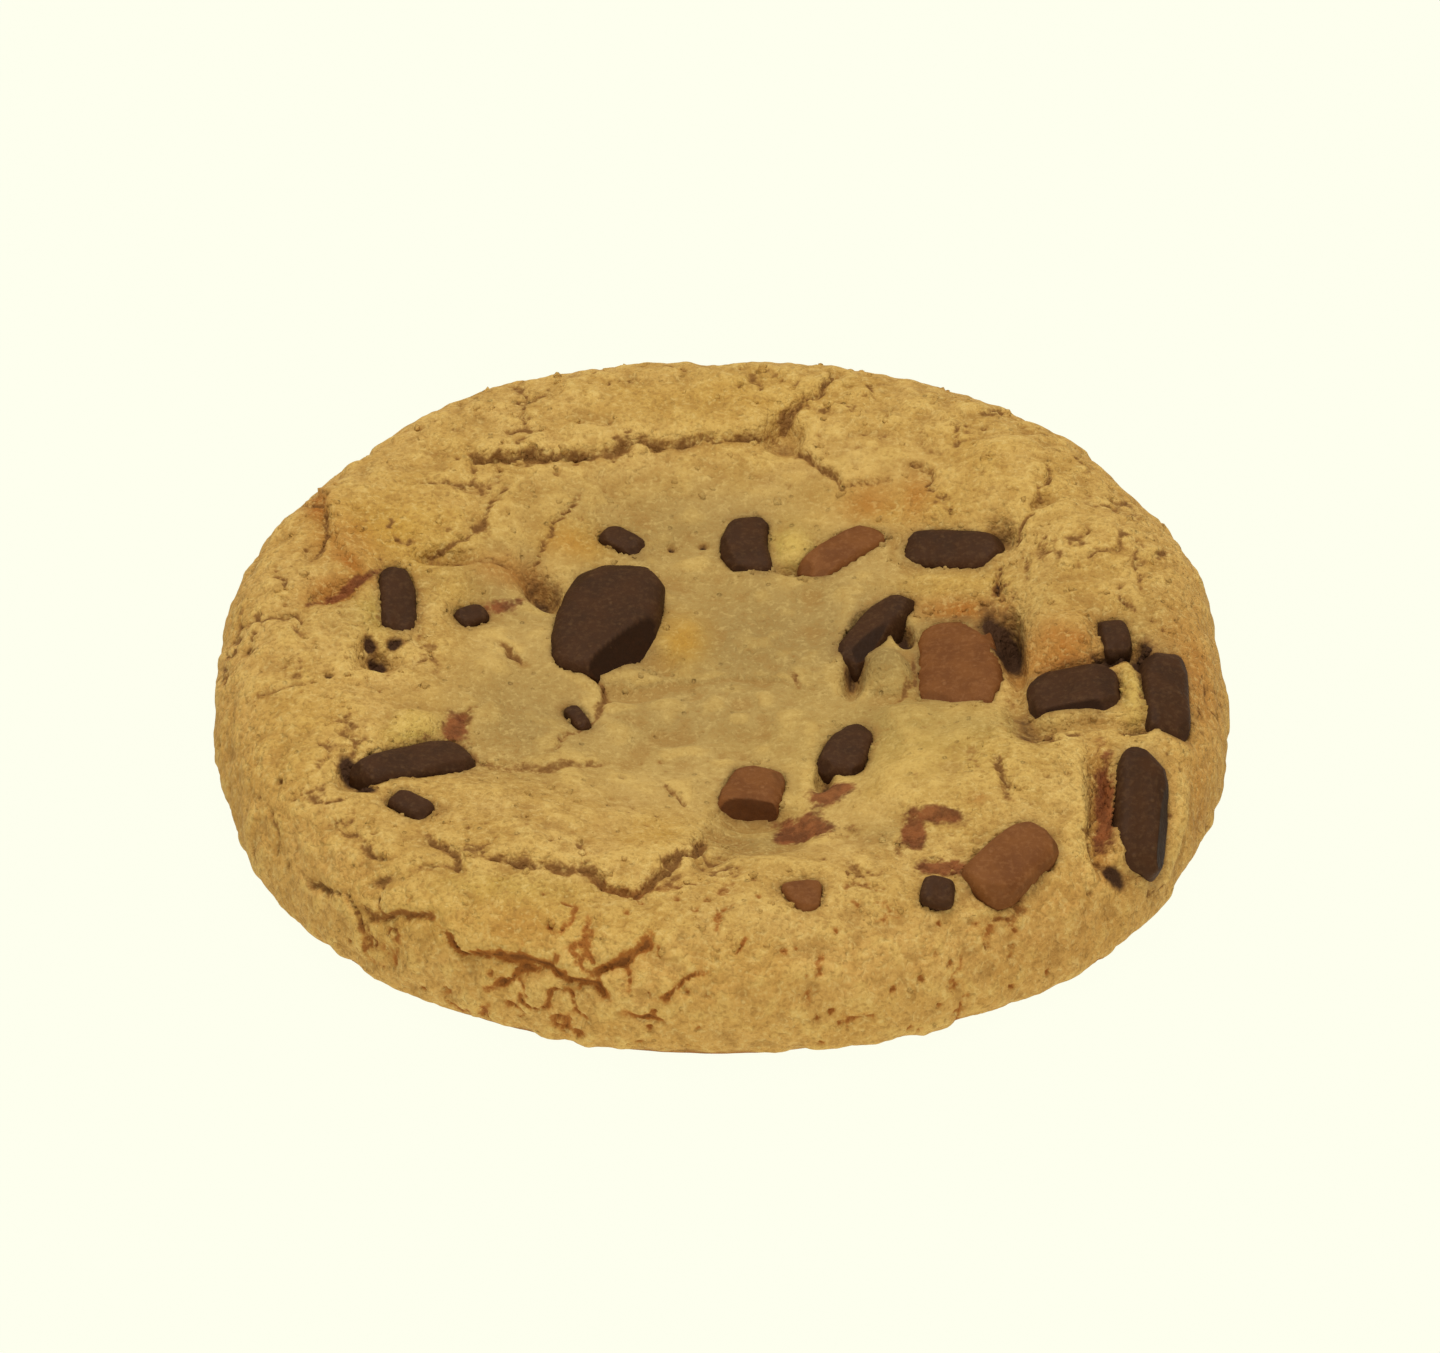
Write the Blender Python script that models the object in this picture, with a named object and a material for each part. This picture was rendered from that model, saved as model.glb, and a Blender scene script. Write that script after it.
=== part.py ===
"""A thick round chocolate-chunk cookie, lying flat on its baked underside.

The dough is one solid. Its shape is a smooth body of revolution, whose section
runs over the top, the rim and the side, with mounds, hollows and cracks raised
or sunk along the surface's normal. Places on it are given in a flat chart: a
chart point lies at its own distance from the middle, measured along the
section, and in its own direction. Each chocolate chunk is a separate solid in
a pocket of the dough. All sizes here are millimetres until a mesh is made.
"""
import bpy
import bmesh
import numpy as np
from mathutils import Matrix

MILLIMETRE = 0.001

# The cookie's body
RADIUS = 44.75
CENTRE_HEIGHT = 8.8
RIM_HEIGHT = 11.75
RIM_TILT = 0.05
PLATE_RADIUS = 18.0
RIM_CREST_RADIUS = 34.0
SHOULDER = 7.5
SHOULDER_SQUARENESS = 2.2
WAIST_HEIGHT = 3.0
FOOT = 1.6
TRIM = 1.5

# The outline's departures from a circle: a squarish roundness, then single
# lobes as direction and half-width in degrees and height in millimetres
SQUARE_LOBE = 0.30
LOBES = (
    (0.0, 6.0, -0.25),
    (20.0, 11.0, 1.0),
    (50.0, 22.0, 0.6),
    (63.0, 8.0, 0.8),
    (76.0, 8.0, 0.35),
    (90.0, 24.0, 0.75),
    (90.0, 6.0, -0.45),
    (120.0, 10.0, 1.2),
    (150.0, 18.0, 1.0),
    (145.0, 3.0, -0.4),
    (168.0, 6.0, 0.4),
    (203.0, 14.0, 1.0),
    (228.0, 16.0, 1.0),
    (270.0, 30.0, 0.85),
    (283.0, 9.0, -0.3),
    (324.0, 16.0, 0.85),
    (343.0, 7.0, 0.3),
)
BOX_MIDDLE = (0.08, -0.21)

# Raised plates and soft mounds: chart place, half-lengths, turn in degrees,
# height, and how flat the top is (2 is a soft mound, 6 a plateau)
MOUNDS = (
    ((-13.0, -24.0), (10.5, 9.0), 4.0, 0.9, 6),
    ((-16.5, -7.5), (7.0, 8.0), 10.0, 0.6, 6),
    ((20.5, -15.5), (9.0, 9.0), -15.0, 1.3, 4),
    ((-15.0, -37.5), (11.0, 3.2), -12.0, 0.5, 4),
    ((5.0, -34.0), (7.0, 4.0), -4.0, 0.6, 4),
    ((31.5, 8.5), (5.5, 9.0), 0.0, 0.7, 4),
    ((30.6, 0.6), (3.3, 3.4), 0.0, 1.1, 3),
    ((19.5, 10.3), (4.6, 2.0), -12.0, 0.9, 4),
    ((-24.0, 8.5), (2.8, 4.5), 15.0, 0.8, 3),
    ((-20.0, 27.0), (14.0, 5.0), 15.0, -0.4, 2),
    ((14.8, -1.3), (1.9, 3.0), 20.0, 1.4, 4),
    ((-26.3, -11.4), (1.6, 2.0), -20.0, 1.0, 4),
    ((6.8, 17.2), (1.2, 1.7), 10.0, 0.6, 3),
    ((23.0, 21.0), (6.5, 5.0), 25.0, 0.5, 4),
    ((0.0, 5.0), (9.0, 12.0), 0.0, -0.4, 4),
    ((-3.0, -8.0), (9.0, 6.0), 0.0, -0.4, 4),
    ((40.6, -21.6), (1.3, 6.0), 4.0, 0.9, 4),
)
HOLLOWS = (
    ((-15.7, 10.2), (1.2, 2.4), 20.0, -1.5, 3),
    ((-9.0, -3.4), (3.4, 1.5), 10.0, -1.0, 3),
    ((25.9, 0.6), (1.1, 4.4), 5.0, -2.4, 4),
    ((16.2, 4.8), (1.0, 2.0), 15.0, -1.6, 4),
    ((11.9, -1.8), (0.8, 2.2), -10.0, -1.6, 3),
    ((-33.6, 6.8), (2.4, 1.1), 35.0, -1.3, 3),
    ((-30.3, -1.7), (2.0, 1.9), 0.0, -1.9, 3),
    ((-24.2, 13.0), (2.1, 1.1), 12.0, -1.4, 3),
    ((32.6, -22.6), (1.2, 5.6), 4.0, -2.0, 4),
    ((5.6, 30.0), (1.6, 1.9), 15.0, -1.6, 4),
    ((28.3, 18.6), (1.1, 0.8), 20.0, -1.1, 3),
    ((3.2, -24.8), (4.2, 3.4), -10.0, -1.1, 4),
    ((26.6, -10.5), (1.8, 4.0), 10.0, -1.0, 3),
    ((24.6, 15.2), (1.2, 1.8), 15.0, -1.4, 3),
    ((-31.6, -19.2), (1.6, 1.6), -30.0, -1.3, 3),
    ((9.1, -15.9), (0.9, 2.0), -10.0, -1.4, 3),
)

# Cracks: width, depth, how much higher the left bank is than the right one
# for someone who walks along it, and the chart points it runs through
CRACKS = (
    (0.8, 1.2, 0.8, ((-22.4, 26.2), (-20.6, 25.3), (-15.0, 25.8), (-10.0, 27.4), (-7.6, 28.9),
                     (-3.2, 28.8), (-1.6, 30.0), (0.2, 29.4), (5.0, 30.6))),
    (0.9, 1.1, 0.5, ((5.2, 30.5), (5.4, 33.0), (8.2, 34.6), (9.2, 36.2), (10.6, 39.5))),
    (0.8, 1.0, 0.6, ((5.8, 28.6), (10.0, 25.3), (11.0, 23.2), (13.0, 23.7), (14.6, 23.6))),
    (0.6, 0.8, 0.3, ((15.4, 25.2), (17.6, 24.9), (18.7, 23.4), (18.0, 22.2), (18.7, 21.0),
                     (20.0, 19.8))),
    (0.6, 0.8, 0.2, ((28.0, 24.0), (28.9, 21.2), (28.5, 18.9), (27.0, 16.4), (26.2, 14.2),
                     (24.6, 13.8))),
    (0.7, 1.2, 0.3, ((23.8, 12.8), (24.0, 9.4), (24.4, 7.2))),
    (0.6, 0.7, -0.2, ((-11.9, 23.4), (-13.2, 21.0), (-14.7, 19.2), (-15.6, 16.4), (-16.8, 13.2))),
    (0.8, 0.7, 0.4, ((-18.6, 23.0), (-20.6, 20.0), (-21.6, 17.6), (-22.2, 15.2), (-25.8, 12.8))),
    (0.7, 0.8, -0.4, ((-12.6, -1.2), (-10.5, -3.9), (-11.2, -7.6), (-14.2, -10.8), (-15.4, -14.0))),
    (0.8, 0.8, 0.5, ((-26.2, -25.2), (-24.3, -27.4), (-22.4, -29.8), (-21.2, -32.2))),
    (1.1, 1.0, 0.6, ((-20.0, -30.2), (-15.0, -31.3), (-10.3, -33.4), (-7.0, -35.0), (-5.1, -31.9),
                     (-2.2, -28.9), (-1.2, -24.4))),
    (0.7, 0.8, 0.3, ((-4.9, -16.8), (-4.0, -18.8), (-3.1, -21.4))),
    (0.8, 0.7, 0.4, ((-32.6, -36.4), (-32.2, -33.8), (-33.0, -31.6), (-36.2, -29.8), (-38.4, -27.8))),
    (0.8, 0.7, 0.4, ((-31.6, -33.2), (-28.0, -34.8), (-23.6, -36.0))),
    (0.8, 0.8, 0.5, ((-24.2, -36.4), (-23.0, -39.4), (-19.0, -41.0), (-15.4, -42.6), (-12.4, -44.3),
                     (-9.8, -46.0))),
    (0.8, 0.7, 0.3, ((-12.0, -43.8), (-10.4, -43.0), (-8.0, -42.2), (-6.6, -40.9), (-5.7, -39.6))),
    (0.7, 0.7, 0.3, ((-9.0, -46.8), (-4.9, -48.4))),
    (0.8, 0.6, 0.3, ((10.8, -30.0), (11.5, -31.5), (13.0, -33.3))),
    (0.7, 0.8, 0.4, ((33.6, -16.4), (32.6, -19.5), (31.8, -23.5), (32.0, -27.4), (34.4, -29.6))),
    (0.7, 0.6, -0.3, ((-42.2, 3.4), (-38.0, 3.0), (-37.0, -0.6))),
    (0.7, 0.6, 0.7, ((-38.4, 23.0), (-35.6, 19.5), (-34.9, 15.5), (-35.4, 11.0))),
)
BANK_REACH = 3.5
CRACK_TAPER = 2.5
CRACK_END = 0.25
CRACK_WANDER = 0.7
CRACK_WANDER_SIZE = 3.0

# Lumpiness of the dough: grain size and height of each layer
LUMPS = ((15.0, 0.55), (6.5, 0.32), (3.0, 0.15))
RIM_CRUMBLE = (2.2, 0.28)
RIM_START = 34.0
RIM_BLEND = 6.0
MOUND_EDGE = 0.7

# Mesh fineness: rings of the dough before thinning, and the share kept
RINGS = 66
KEPT_SHARE = 0.27
POCKET_GAP = 0.45
POCKET_REACH = 12.0
SLOPE_STEP = 0.4
LATTICE_SHIFT = 100.0
ELSEWHERE = 50.0

# How square the chunks are (2 is an egg, 6 a block), how uneven, and which of
# them are small enough for a coarser mesh
CHUNK_SQUARENESS = 3.4
CHUNK_UNEVENNESS = 0.07
CHUNK_UNEVEN_SIZE = 0.8
CHUNK_GRAIN_STEP = 7.0
CHUNK_BEND_MIDDLE = 0.35
SMALL_CHUNK = 2.3
CHUNK_CELLS = 3
SMALL_CHUNK_CELLS = 2

DOUGH_COLOUR = (0.52, 0.33, 0.11, 1.0)
DARK_COLOUR = (0.060, 0.033, 0.019, 1.0)
MILK_COLOUR = (0.21, 0.088, 0.034, 1.0)


class Chunk:
    """A chocolate chunk: a rounded block, set in the dough.

    at is its chart place and halves are its half-length, half-width and
    half-thickness. turn is the direction of its long side from the chart's x,
    lift is the height of its middle above the smooth surface, and pitch and roll
    tip it, all in degrees. taper narrows it along its length, bend curves it
    sideways, and cut is a corner that was broken off: its direction, the cut
    face's distance from the middle, and how far that face leans back.
    """

    def __init__(self, at, halves, turn, lift, pitch=0.0, roll=0.0, taper=0.0, bend=0.0, cut=None):
        self.at = at
        self.halves = halves
        self.turn = turn
        self.lift = lift
        self.pitch = pitch
        self.roll = roll
        self.taper = taper
        self.bend = bend
        self.cut = cut


CHUNKS = {
    "dark_chunk_big": Chunk((-10.0, 5.6), (8.0, 4.5, 3.3), 80, -1.8, roll=-3, taper=-0.04, bend=0.4,
                            cut=(-122, 4.5, 35)),
    "dark_chunk_kidney": Chunk((2.4, 17.6), (4.1, 2.2, 2.2), 92, -1.9, bend=0.9),
    "milk_chunk_sliver": Chunk((10.8, 16.2), (4.6, 1.95, 2.0), 40, -1.7, taper=0.05, bend=0.4),
    "dark_chunk_right": Chunk((20.2, 14.9), (4.7, 2.35, 2.4), -16, -2.1, taper=0.05),
    "dark_chunk_rod": Chunk((13.4, 5.2), (5.6, 1.9, 2.4), 61, -2.0, roll=-12, taper=0.05, bend=0.3),
    "milk_chunk_big": Chunk((20.9, 0.2), (7.0, 3.85, 3.0), 94, -2.8, pitch=-2, taper=-0.08),
    "dark_chunk_sunk": Chunk((31.0, -6.8), (4.2, 3.7, 3.0), 4, -2.8),
    "dark_chunk_stub": Chunk((35.4, 0.5), (2.6, 1.45, 2.0), 98, -1.9),
    "dark_chunk_edge": Chunk((39.7, -7.3), (5.8, 2.2, 2.6), 92, -2.2, taper=-0.05),
    "dark_chunk_side": Chunk((36.4, -22.0), (6.3, 2.5, 2.7), 95, -2.0, roll=-18, taper=-0.04),
    "milk_chunk_front": Chunk((24.7, -30.3), (5.0, 2.9, 2.6), 52, -1.9),
    "dark_chip_front": Chunk((18.6, -34.8), (1.6, 1.45, 1.4), 80, -0.9),
    "dark_chunk_kite": Chunk((11.2, -11.8), (3.6, 2.05, 2.3), 70, -2.0, taper=-0.15),
    "milk_chunk_low": Chunk((2.8, -17.7), (3.7, 2.8, 2.6), 75, -2.1, taper=-0.12),
    "dark_chunk_left_front": Chunk((-26.0, -16.1), (5.7, 2.35, 2.4), 28, -2.1, taper=0.22),
    "dark_chip_left_front": Chunk((-26.1, -22.4), (2.2, 1.35, 1.5), -40, -1.2),
    "dark_chunk_left": Chunk((-28.3, 6.3), (4.7, 1.75, 2.3), 92, -2.0, taper=0.04),
    "dark_chip_left": Chunk((-22.0, 6.1), (1.6, 1.1, 1.2), 35, -0.9),
    "dark_chip_back": Chunk((-8.8, 17.6), (2.2, 1.35, 1.3), -35, -1.0),
    "dark_chip_middle": Chunk((-12.7, -7.6), (1.8, 0.8, 1.2), -62, -0.9),
    "milk_chip_front": Chunk((7.2, -35.7), (2.0, 1.6, 1.3), -80, -0.8, taper=-0.35),
}


def clear_scene():
    """Take away every object that the scene starts with."""
    for scene_object in list(bpy.data.objects):
        bpy.data.objects.remove(scene_object, do_unlink=True)


def smoothstep(value):
    """Ease from 0 to 1 while the value goes from 0 to 1."""
    value = np.clip(value, 0.0, 1.0)
    return value * value * (3.0 - 2.0 * value)


def section(samples=400):
    """Half section of the smooth body, as arc length, radius and height.

    From the middle outwards it climbs in a soft step from the plate to the
    rim's crest, turns down over the shoulder as a quarter of a superellipse,
    tucks under the waist as a quarter circle and drops straight below the
    underside, where it is trimmed off later.
    """
    quarter = np.linspace(0.0, np.pi / 2, samples)[1:]
    power = 2.0 / SHOULDER_SQUARENESS
    top_radius = np.linspace(0.0, RADIUS - SHOULDER, samples)
    climb = smoothstep((top_radius - PLATE_RADIUS) / (RIM_CREST_RADIUS - PLATE_RADIUS))
    top_height = CENTRE_HEIGHT + (RIM_HEIGHT - CENTRE_HEIGHT) * climb
    side_radius = RADIUS - SHOULDER + SHOULDER * np.sin(quarter) ** power
    side_height = WAIST_HEIGHT + (RIM_HEIGHT - WAIST_HEIGHT) * np.cos(quarter) ** power
    foot_radius = RADIUS - FOOT + FOOT * np.cos(quarter)
    foot_height = WAIST_HEIGHT * (1.0 - np.sin(quarter))
    radius = np.concatenate([top_radius, side_radius, foot_radius, [RADIUS - FOOT]])
    height = np.concatenate([top_height, side_height, foot_height, [-TRIM]])
    steps = np.hypot(np.diff(radius), np.diff(height))
    return np.concatenate([[0.0], np.cumsum(steps)]), radius, height


ARC, ARC_RADIUS, ARC_HEIGHT = section()


def outline_growth(angle):
    """How many millimetres the outline stands out from a circle."""
    growth = SQUARE_LOBE * (1.0 - np.cos(4.0 * angle))
    for direction, width, height in LOBES:
        turn = (np.degrees(angle) - direction + 180.0) % 360.0 - 180.0
        growth = growth + height * np.exp(-((turn / width) ** 2))
    return growth


def smooth_body(chart_x, chart_y):
    """Points and outward normals of the smooth body at chart places."""
    arc = np.hypot(chart_x, chart_y)
    angle = np.arctan2(chart_y, chart_x)
    radius = np.interp(arc, ARC, ARC_RADIUS)
    height = np.interp(arc, ARC, ARC_HEIGHT)
    ahead = np.minimum(arc + SLOPE_STEP, ARC[-1])
    behind = np.maximum(arc - SLOPE_STEP, 0.0)
    run = np.interp(ahead, ARC, ARC_RADIUS) - np.interp(behind, ARC, ARC_RADIUS)
    rise = np.interp(ahead, ARC, ARC_HEIGHT) - np.interp(behind, ARC, ARC_HEIGHT)
    slope = np.hypot(run, rise)
    reach = smoothstep((radius - PLATE_RADIUS) / (RIM_CREST_RADIUS - PLATE_RADIUS))
    height = height * (1.0 + RIM_TILT * np.sin(angle) * radius / RADIUS)
    radius = radius + outline_growth(angle) * reach
    points = np.stack([radius * np.cos(angle) - BOX_MIDDLE[0],
                       radius * np.sin(angle) - BOX_MIDDLE[1], height], axis=-1)
    normals = np.stack([-rise / slope * np.cos(angle),
                        -rise / slope * np.sin(angle), run / slope], axis=-1)
    return points, normals


class Grain:
    """Smooth random numbers in space, eased between the corners of a lattice."""

    def __init__(self, seed, cells=32):
        self.cells = cells
        self.lattice = np.random.default_rng(seed).uniform(-1.0, 1.0, (cells, cells, cells))

    def __call__(self, points, size):
        place = points / size + LATTICE_SHIFT
        corner = np.floor(place).astype(int)
        part = smoothstep(place - corner)
        total = np.zeros(points.shape[:-1])
        for step in np.ndindex(2, 2, 2):
            index = (corner + np.array(step)) % self.cells
            weight = np.prod(np.where(np.array(step) == 1, part, 1.0 - part), axis=-1)
            total = total + weight * self.lattice[index[..., 0], index[..., 1], index[..., 2]]
        return total


LUMP_GRAIN = Grain(11)
WANDER_GRAIN = Grain(23)
CHUNK_GRAIN = Grain(37)


def mound(chart_x, chart_y, place, halves, turn, height, flatness):
    """A mound or hollow: its height fades with the distance from its middle."""
    turn = np.radians(turn)
    away_x = chart_x - place[0]
    away_y = chart_y - place[1]
    along = (away_x * np.cos(turn) + away_y * np.sin(turn)) / halves[0]
    across = (away_y * np.cos(turn) - away_x * np.sin(turn)) / halves[1]
    return height * np.exp(-MOUND_EDGE * np.hypot(along, across) ** flatness)


def crack(chart_x, chart_y, width, depth, bank, route):
    """A crack along a route: a sharp groove, with one bank higher than the other."""
    nearest = np.full(chart_x.shape, 1e9)
    side = np.zeros(chart_x.shape)
    fade = np.zeros(chart_x.shape)
    route = np.array(route)
    lengths = np.hypot(*np.diff(route, axis=0).T)
    starts = np.concatenate([[0.0], np.cumsum(lengths)])
    for start, end, length, passed in zip(route[:-1], route[1:], lengths, starts):
        run = (end - start) / length
        along = np.clip((chart_x - start[0]) * run[0] + (chart_y - start[1]) * run[1], 0.0, length)
        away_x = chart_x - start[0] - along * run[0]
        away_y = chart_y - start[1] - along * run[1]
        distance = np.hypot(away_x, away_y)
        closer = distance < nearest
        nearest = np.where(closer, distance, nearest)
        side = np.where(closer, run[0] * away_y - run[1] * away_x, side)
        from_end = np.minimum(passed + along, starts[-1] - passed - along)
        fade = np.where(closer, smoothstep(CRACK_END + from_end / CRACK_TAPER), fade)
    groove = -depth * np.clip(1.0 - nearest / width, 0.0, 1.0)
    step = 0.5 * bank * np.tanh(side / (0.5 * width)) * np.exp(-nearest / BANK_REACH)
    return (groove + step) * fade


def relief(chart_x, chart_y, points):
    """Height of the real dough above the smooth body, along its normal."""
    height = np.zeros(chart_x.shape)
    for size, tall in LUMPS:
        height = height + tall * LUMP_GRAIN(points, size)
    arc = np.hypot(chart_x, chart_y)
    rim = smoothstep((arc - RIM_START) / RIM_BLEND)
    crumble_size, crumble_depth = RIM_CRUMBLE
    height = height - rim * crumble_depth * np.abs(LUMP_GRAIN(points + ELSEWHERE, crumble_size))
    for feature in MOUNDS + HOLLOWS:
        height = height + mound(chart_x, chart_y, *feature)
    wander_x = chart_x + CRACK_WANDER * WANDER_GRAIN(points, CRACK_WANDER_SIZE)
    wander_y = chart_y + CRACK_WANDER * WANDER_GRAIN(points + ELSEWHERE, CRACK_WANDER_SIZE)
    for feature in CRACKS:
        height = height + crack(wander_x, wander_y, *feature)
    return height


def disc_chart(rings, spacing):
    """Chart points of a disc of rings, ring n with 6n points, and its triangles."""
    chart = [np.zeros((1, 2))]
    triangles = []
    for ring in range(1, rings + 1):
        angle = np.arange(6 * ring) * (np.pi / (3 * ring))
        chart.append(np.stack([np.cos(angle), np.sin(angle)], axis=1) * ring * spacing)
        outer_start = 1 + 3 * ring * (ring - 1)
        inner_start = 1 + 3 * (ring - 1) * (ring - 2) if ring > 1 else 0
        inner_count = max(6 * (ring - 1), 1)
        sector = np.repeat(np.arange(6), ring)
        step = np.tile(np.arange(ring), 6)
        outer = outer_start + sector * ring + step
        outer_next = outer_start + (sector * ring + step + 1) % (6 * ring)
        inner = inner_start + (sector * (ring - 1) + step) % inner_count
        inner_next = inner_start + (sector * (ring - 1) + step + 1) % inner_count
        triangles.append(np.stack([outer, outer_next, inner], axis=1))
        filler = step < ring - 1
        triangles.append(np.stack([inner, outer_next, inner_next], axis=1)[filler])
    return np.concatenate(chart), np.concatenate(triangles)


def new_object(name, vertices, faces, material):
    """An object with its place in its mesh, from points in millimetres."""
    mesh = bpy.data.meshes.new(name)
    mesh.from_pydata((vertices * MILLIMETRE).tolist(), [], faces)
    mesh.materials.append(material)
    mesh.validate()
    new = bpy.data.objects.new(name, mesh)
    bpy.context.scene.collection.objects.link(new)
    return new


def new_material(name, colour, roughness):
    """A plain surface of one colour and roughness."""
    material = bpy.data.materials.new(name)
    material.use_nodes = True
    shader = material.node_tree.nodes["Principled BSDF"]
    shader.inputs["Base Color"].default_value = colour
    shader.inputs["Roughness"].default_value = roughness
    material.diffuse_color = colour
    return material


def make_dough(material):
    """The dough: a fine disc of rings bent over the body, thinned and trimmed flat."""
    spacing = ARC[-1] / RINGS
    chart, triangles = disc_chart(RINGS, spacing)
    points, normals = smooth_body(chart[:, 0], chart[:, 1])
    height = relief(chart[:, 0], chart[:, 1], points)
    vertices = points + normals * height[:, None]
    last_ring = len(chart) - 6 * RINGS
    vertices[last_ring:, 2] = -TRIM
    faces = triangles.tolist()
    faces.append(list(range(len(chart) - 1, last_ring - 1, -1)))
    dough = new_object("dough", vertices, faces, material)
    thin = dough.modifiers.new("Thin", "DECIMATE")
    thin.ratio = KEPT_SHARE
    settled = bpy.data.meshes.new_from_object(dough.evaluated_get(bpy.context.evaluated_depsgraph_get()))
    dough.modifiers.clear()
    trim_underside(settled)
    dough.data = settled
    return dough


def trim_underside(mesh):
    """Cut away what lies below the underside and close the cut with one flat face."""
    work = bmesh.new()
    work.from_mesh(mesh)
    geometry = work.verts[:] + work.edges[:] + work.faces[:]
    cut = bmesh.ops.bisect_plane(work, geom=geometry, dist=1e-7, plane_co=(0, 0, 0),
                                 plane_no=(0, 0, 1), clear_inner=True)
    edges = [item for item in cut["geom_cut"] if isinstance(item, bmesh.types.BMEdge)]
    bmesh.ops.holes_fill(work, edges=edges, sides=0)
    bmesh.ops.recalc_face_normals(work, faces=work.faces[:])
    work.to_mesh(mesh)
    work.free()


def lump(cells):
    """A unit cube's grid of points, its corners rounded off, and its quads."""
    line = np.linspace(-1.0, 1.0, cells + 1)
    first, second = np.meshgrid(line, line, indexing="ij")
    ones = np.ones_like(first)
    sheets = []
    for axis in range(3):
        for sign in (1.0, -1.0):
            sheet = [None, None, None]
            sheet[axis] = sign * ones
            sheet[(axis + 1) % 3] = first * sign
            sheet[(axis + 2) % 3] = second
            sheets.append(np.stack(sheet, axis=-1).reshape(-1, 3))
    corner = np.arange(cells)
    row, column = np.meshgrid(corner, corner, indexing="ij")
    base = (row * (cells + 1) + column).ravel()
    quad = np.stack([base, base + cells + 1, base + cells + 2, base + 1], axis=1)
    quads = np.concatenate([quad + number * (cells + 1) ** 2 for number in range(6)])
    points, index = np.unique(np.round(np.concatenate(sheets), 6), axis=0, return_inverse=True)
    quads = index.reshape(-1)[quads]
    norm = np.sum(np.abs(points) ** CHUNK_SQUARENESS, axis=1) ** (1.0 / CHUNK_SQUARENESS)
    return points / norm[:, None], quads


def chunk_frame(chunk):
    """Where a chunk stands: a point of the smooth body and the chunk's three axes."""
    point, normal = smooth_body(np.array(chunk.at[0]), np.array(chunk.at[1]))
    angle = np.arctan2(chunk.at[1], chunk.at[0])
    around = np.array([-np.sin(angle), np.cos(angle), 0.0])
    outward = np.cross(around, normal)
    chart_x = outward * np.cos(angle) - around * np.sin(angle)
    chart_y = outward * np.sin(angle) + around * np.cos(angle)
    axes = Matrix(np.stack([chart_x, chart_y, normal], axis=1).tolist())
    turned = Matrix.Rotation(np.radians(chunk.turn), 3, "Z")
    pitched = Matrix.Rotation(np.radians(-chunk.pitch), 3, "Y")
    rolled = Matrix.Rotation(np.radians(chunk.roll), 3, "X")
    return point, np.array(axes @ turned @ pitched @ rolled)


def chunk_points(chunk, number, cells, extra=0.0, stretch=0.0):
    """Points of a chunk: a rounded block, tapered, bent, cut and set in its frame.

    The extra millimetres grow it on all sides, and the stretch draws its upper
    half up, which turns it into the cutter of its own pocket.
    """
    points, quads = lump(cells)
    length, width, thickness = (half + extra for half in chunk.halves)
    uneven = CHUNK_GRAIN(points + CHUNK_GRAIN_STEP * number, CHUNK_UNEVEN_SIZE)
    shape = 1.0 + CHUNK_UNEVENNESS * uneven
    local = points * shape[:, None] * np.array([length, width, thickness])
    along = points[:, 0]
    local[:, 1] *= 1.0 + chunk.taper * along
    local[:, 1] += chunk.bend * (CHUNK_BEND_MIDDLE - along ** 2)
    if chunk.cut:
        direction, distance, lean = chunk.cut
        facing = Matrix.Rotation(np.radians(direction), 3, "Z") @ Matrix.Rotation(np.radians(-lean), 3, "Y")
        facing = np.array(facing)[:, 0]
        beyond = np.maximum(local @ facing - distance - extra, 0.0)
        local -= beyond[:, None] * facing
    local[:, 2] += np.where(points[:, 2] > 0.0, stretch, 0.0)
    origin, axes = chunk_frame(chunk)
    return origin + axes[:, 2] * chunk.lift + local @ axes.T, quads


def make_chunk(name, chunk, number, material):
    """One chocolate chunk."""
    cells = SMALL_CHUNK_CELLS if max(chunk.halves) < SMALL_CHUNK else CHUNK_CELLS
    points, quads = chunk_points(chunk, number, cells)
    piece = new_object(name, points, quads.tolist(), material)
    piece.data.shade_smooth()


def cut_pocket(dough, name, chunk, number):
    """Cut the chunk's pocket out of the dough, with a small gap all round."""
    points, quads = chunk_points(chunk, number, CHUNK_CELLS, POCKET_GAP, POCKET_REACH)
    cutter = new_object(name + "_pocket", points, quads.tolist(), dough.data.materials[0])
    cutter.display_type = "WIRE"
    cutter.hide_render = True
    pocket = dough.modifiers.new(name, "BOOLEAN")
    pocket.operation = "DIFFERENCE"
    pocket.solver = "EXACT"
    pocket.object = cutter


def main():
    clear_scene()
    dough_material = new_material("baked dough", DOUGH_COLOUR, 0.85)
    dark_material = new_material("dark chocolate", DARK_COLOUR, 0.45)
    milk_material = new_material("milk chocolate", MILK_COLOUR, 0.5)
    dough = make_dough(dough_material)
    for number, (name, chunk) in enumerate(CHUNKS.items()):
        material = milk_material if name.startswith("milk") else dark_material
        make_chunk(name, chunk, number, material)
        cut_pocket(dough, name, chunk, number)
    dough.data.shade_smooth()


main()
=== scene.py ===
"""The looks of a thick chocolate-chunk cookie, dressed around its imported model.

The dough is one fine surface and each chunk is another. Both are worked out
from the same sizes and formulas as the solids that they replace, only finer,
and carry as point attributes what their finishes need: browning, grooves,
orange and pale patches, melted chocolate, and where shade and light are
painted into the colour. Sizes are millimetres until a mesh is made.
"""

import bpy
import numpy as np
from mathutils import Matrix, Vector


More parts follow.
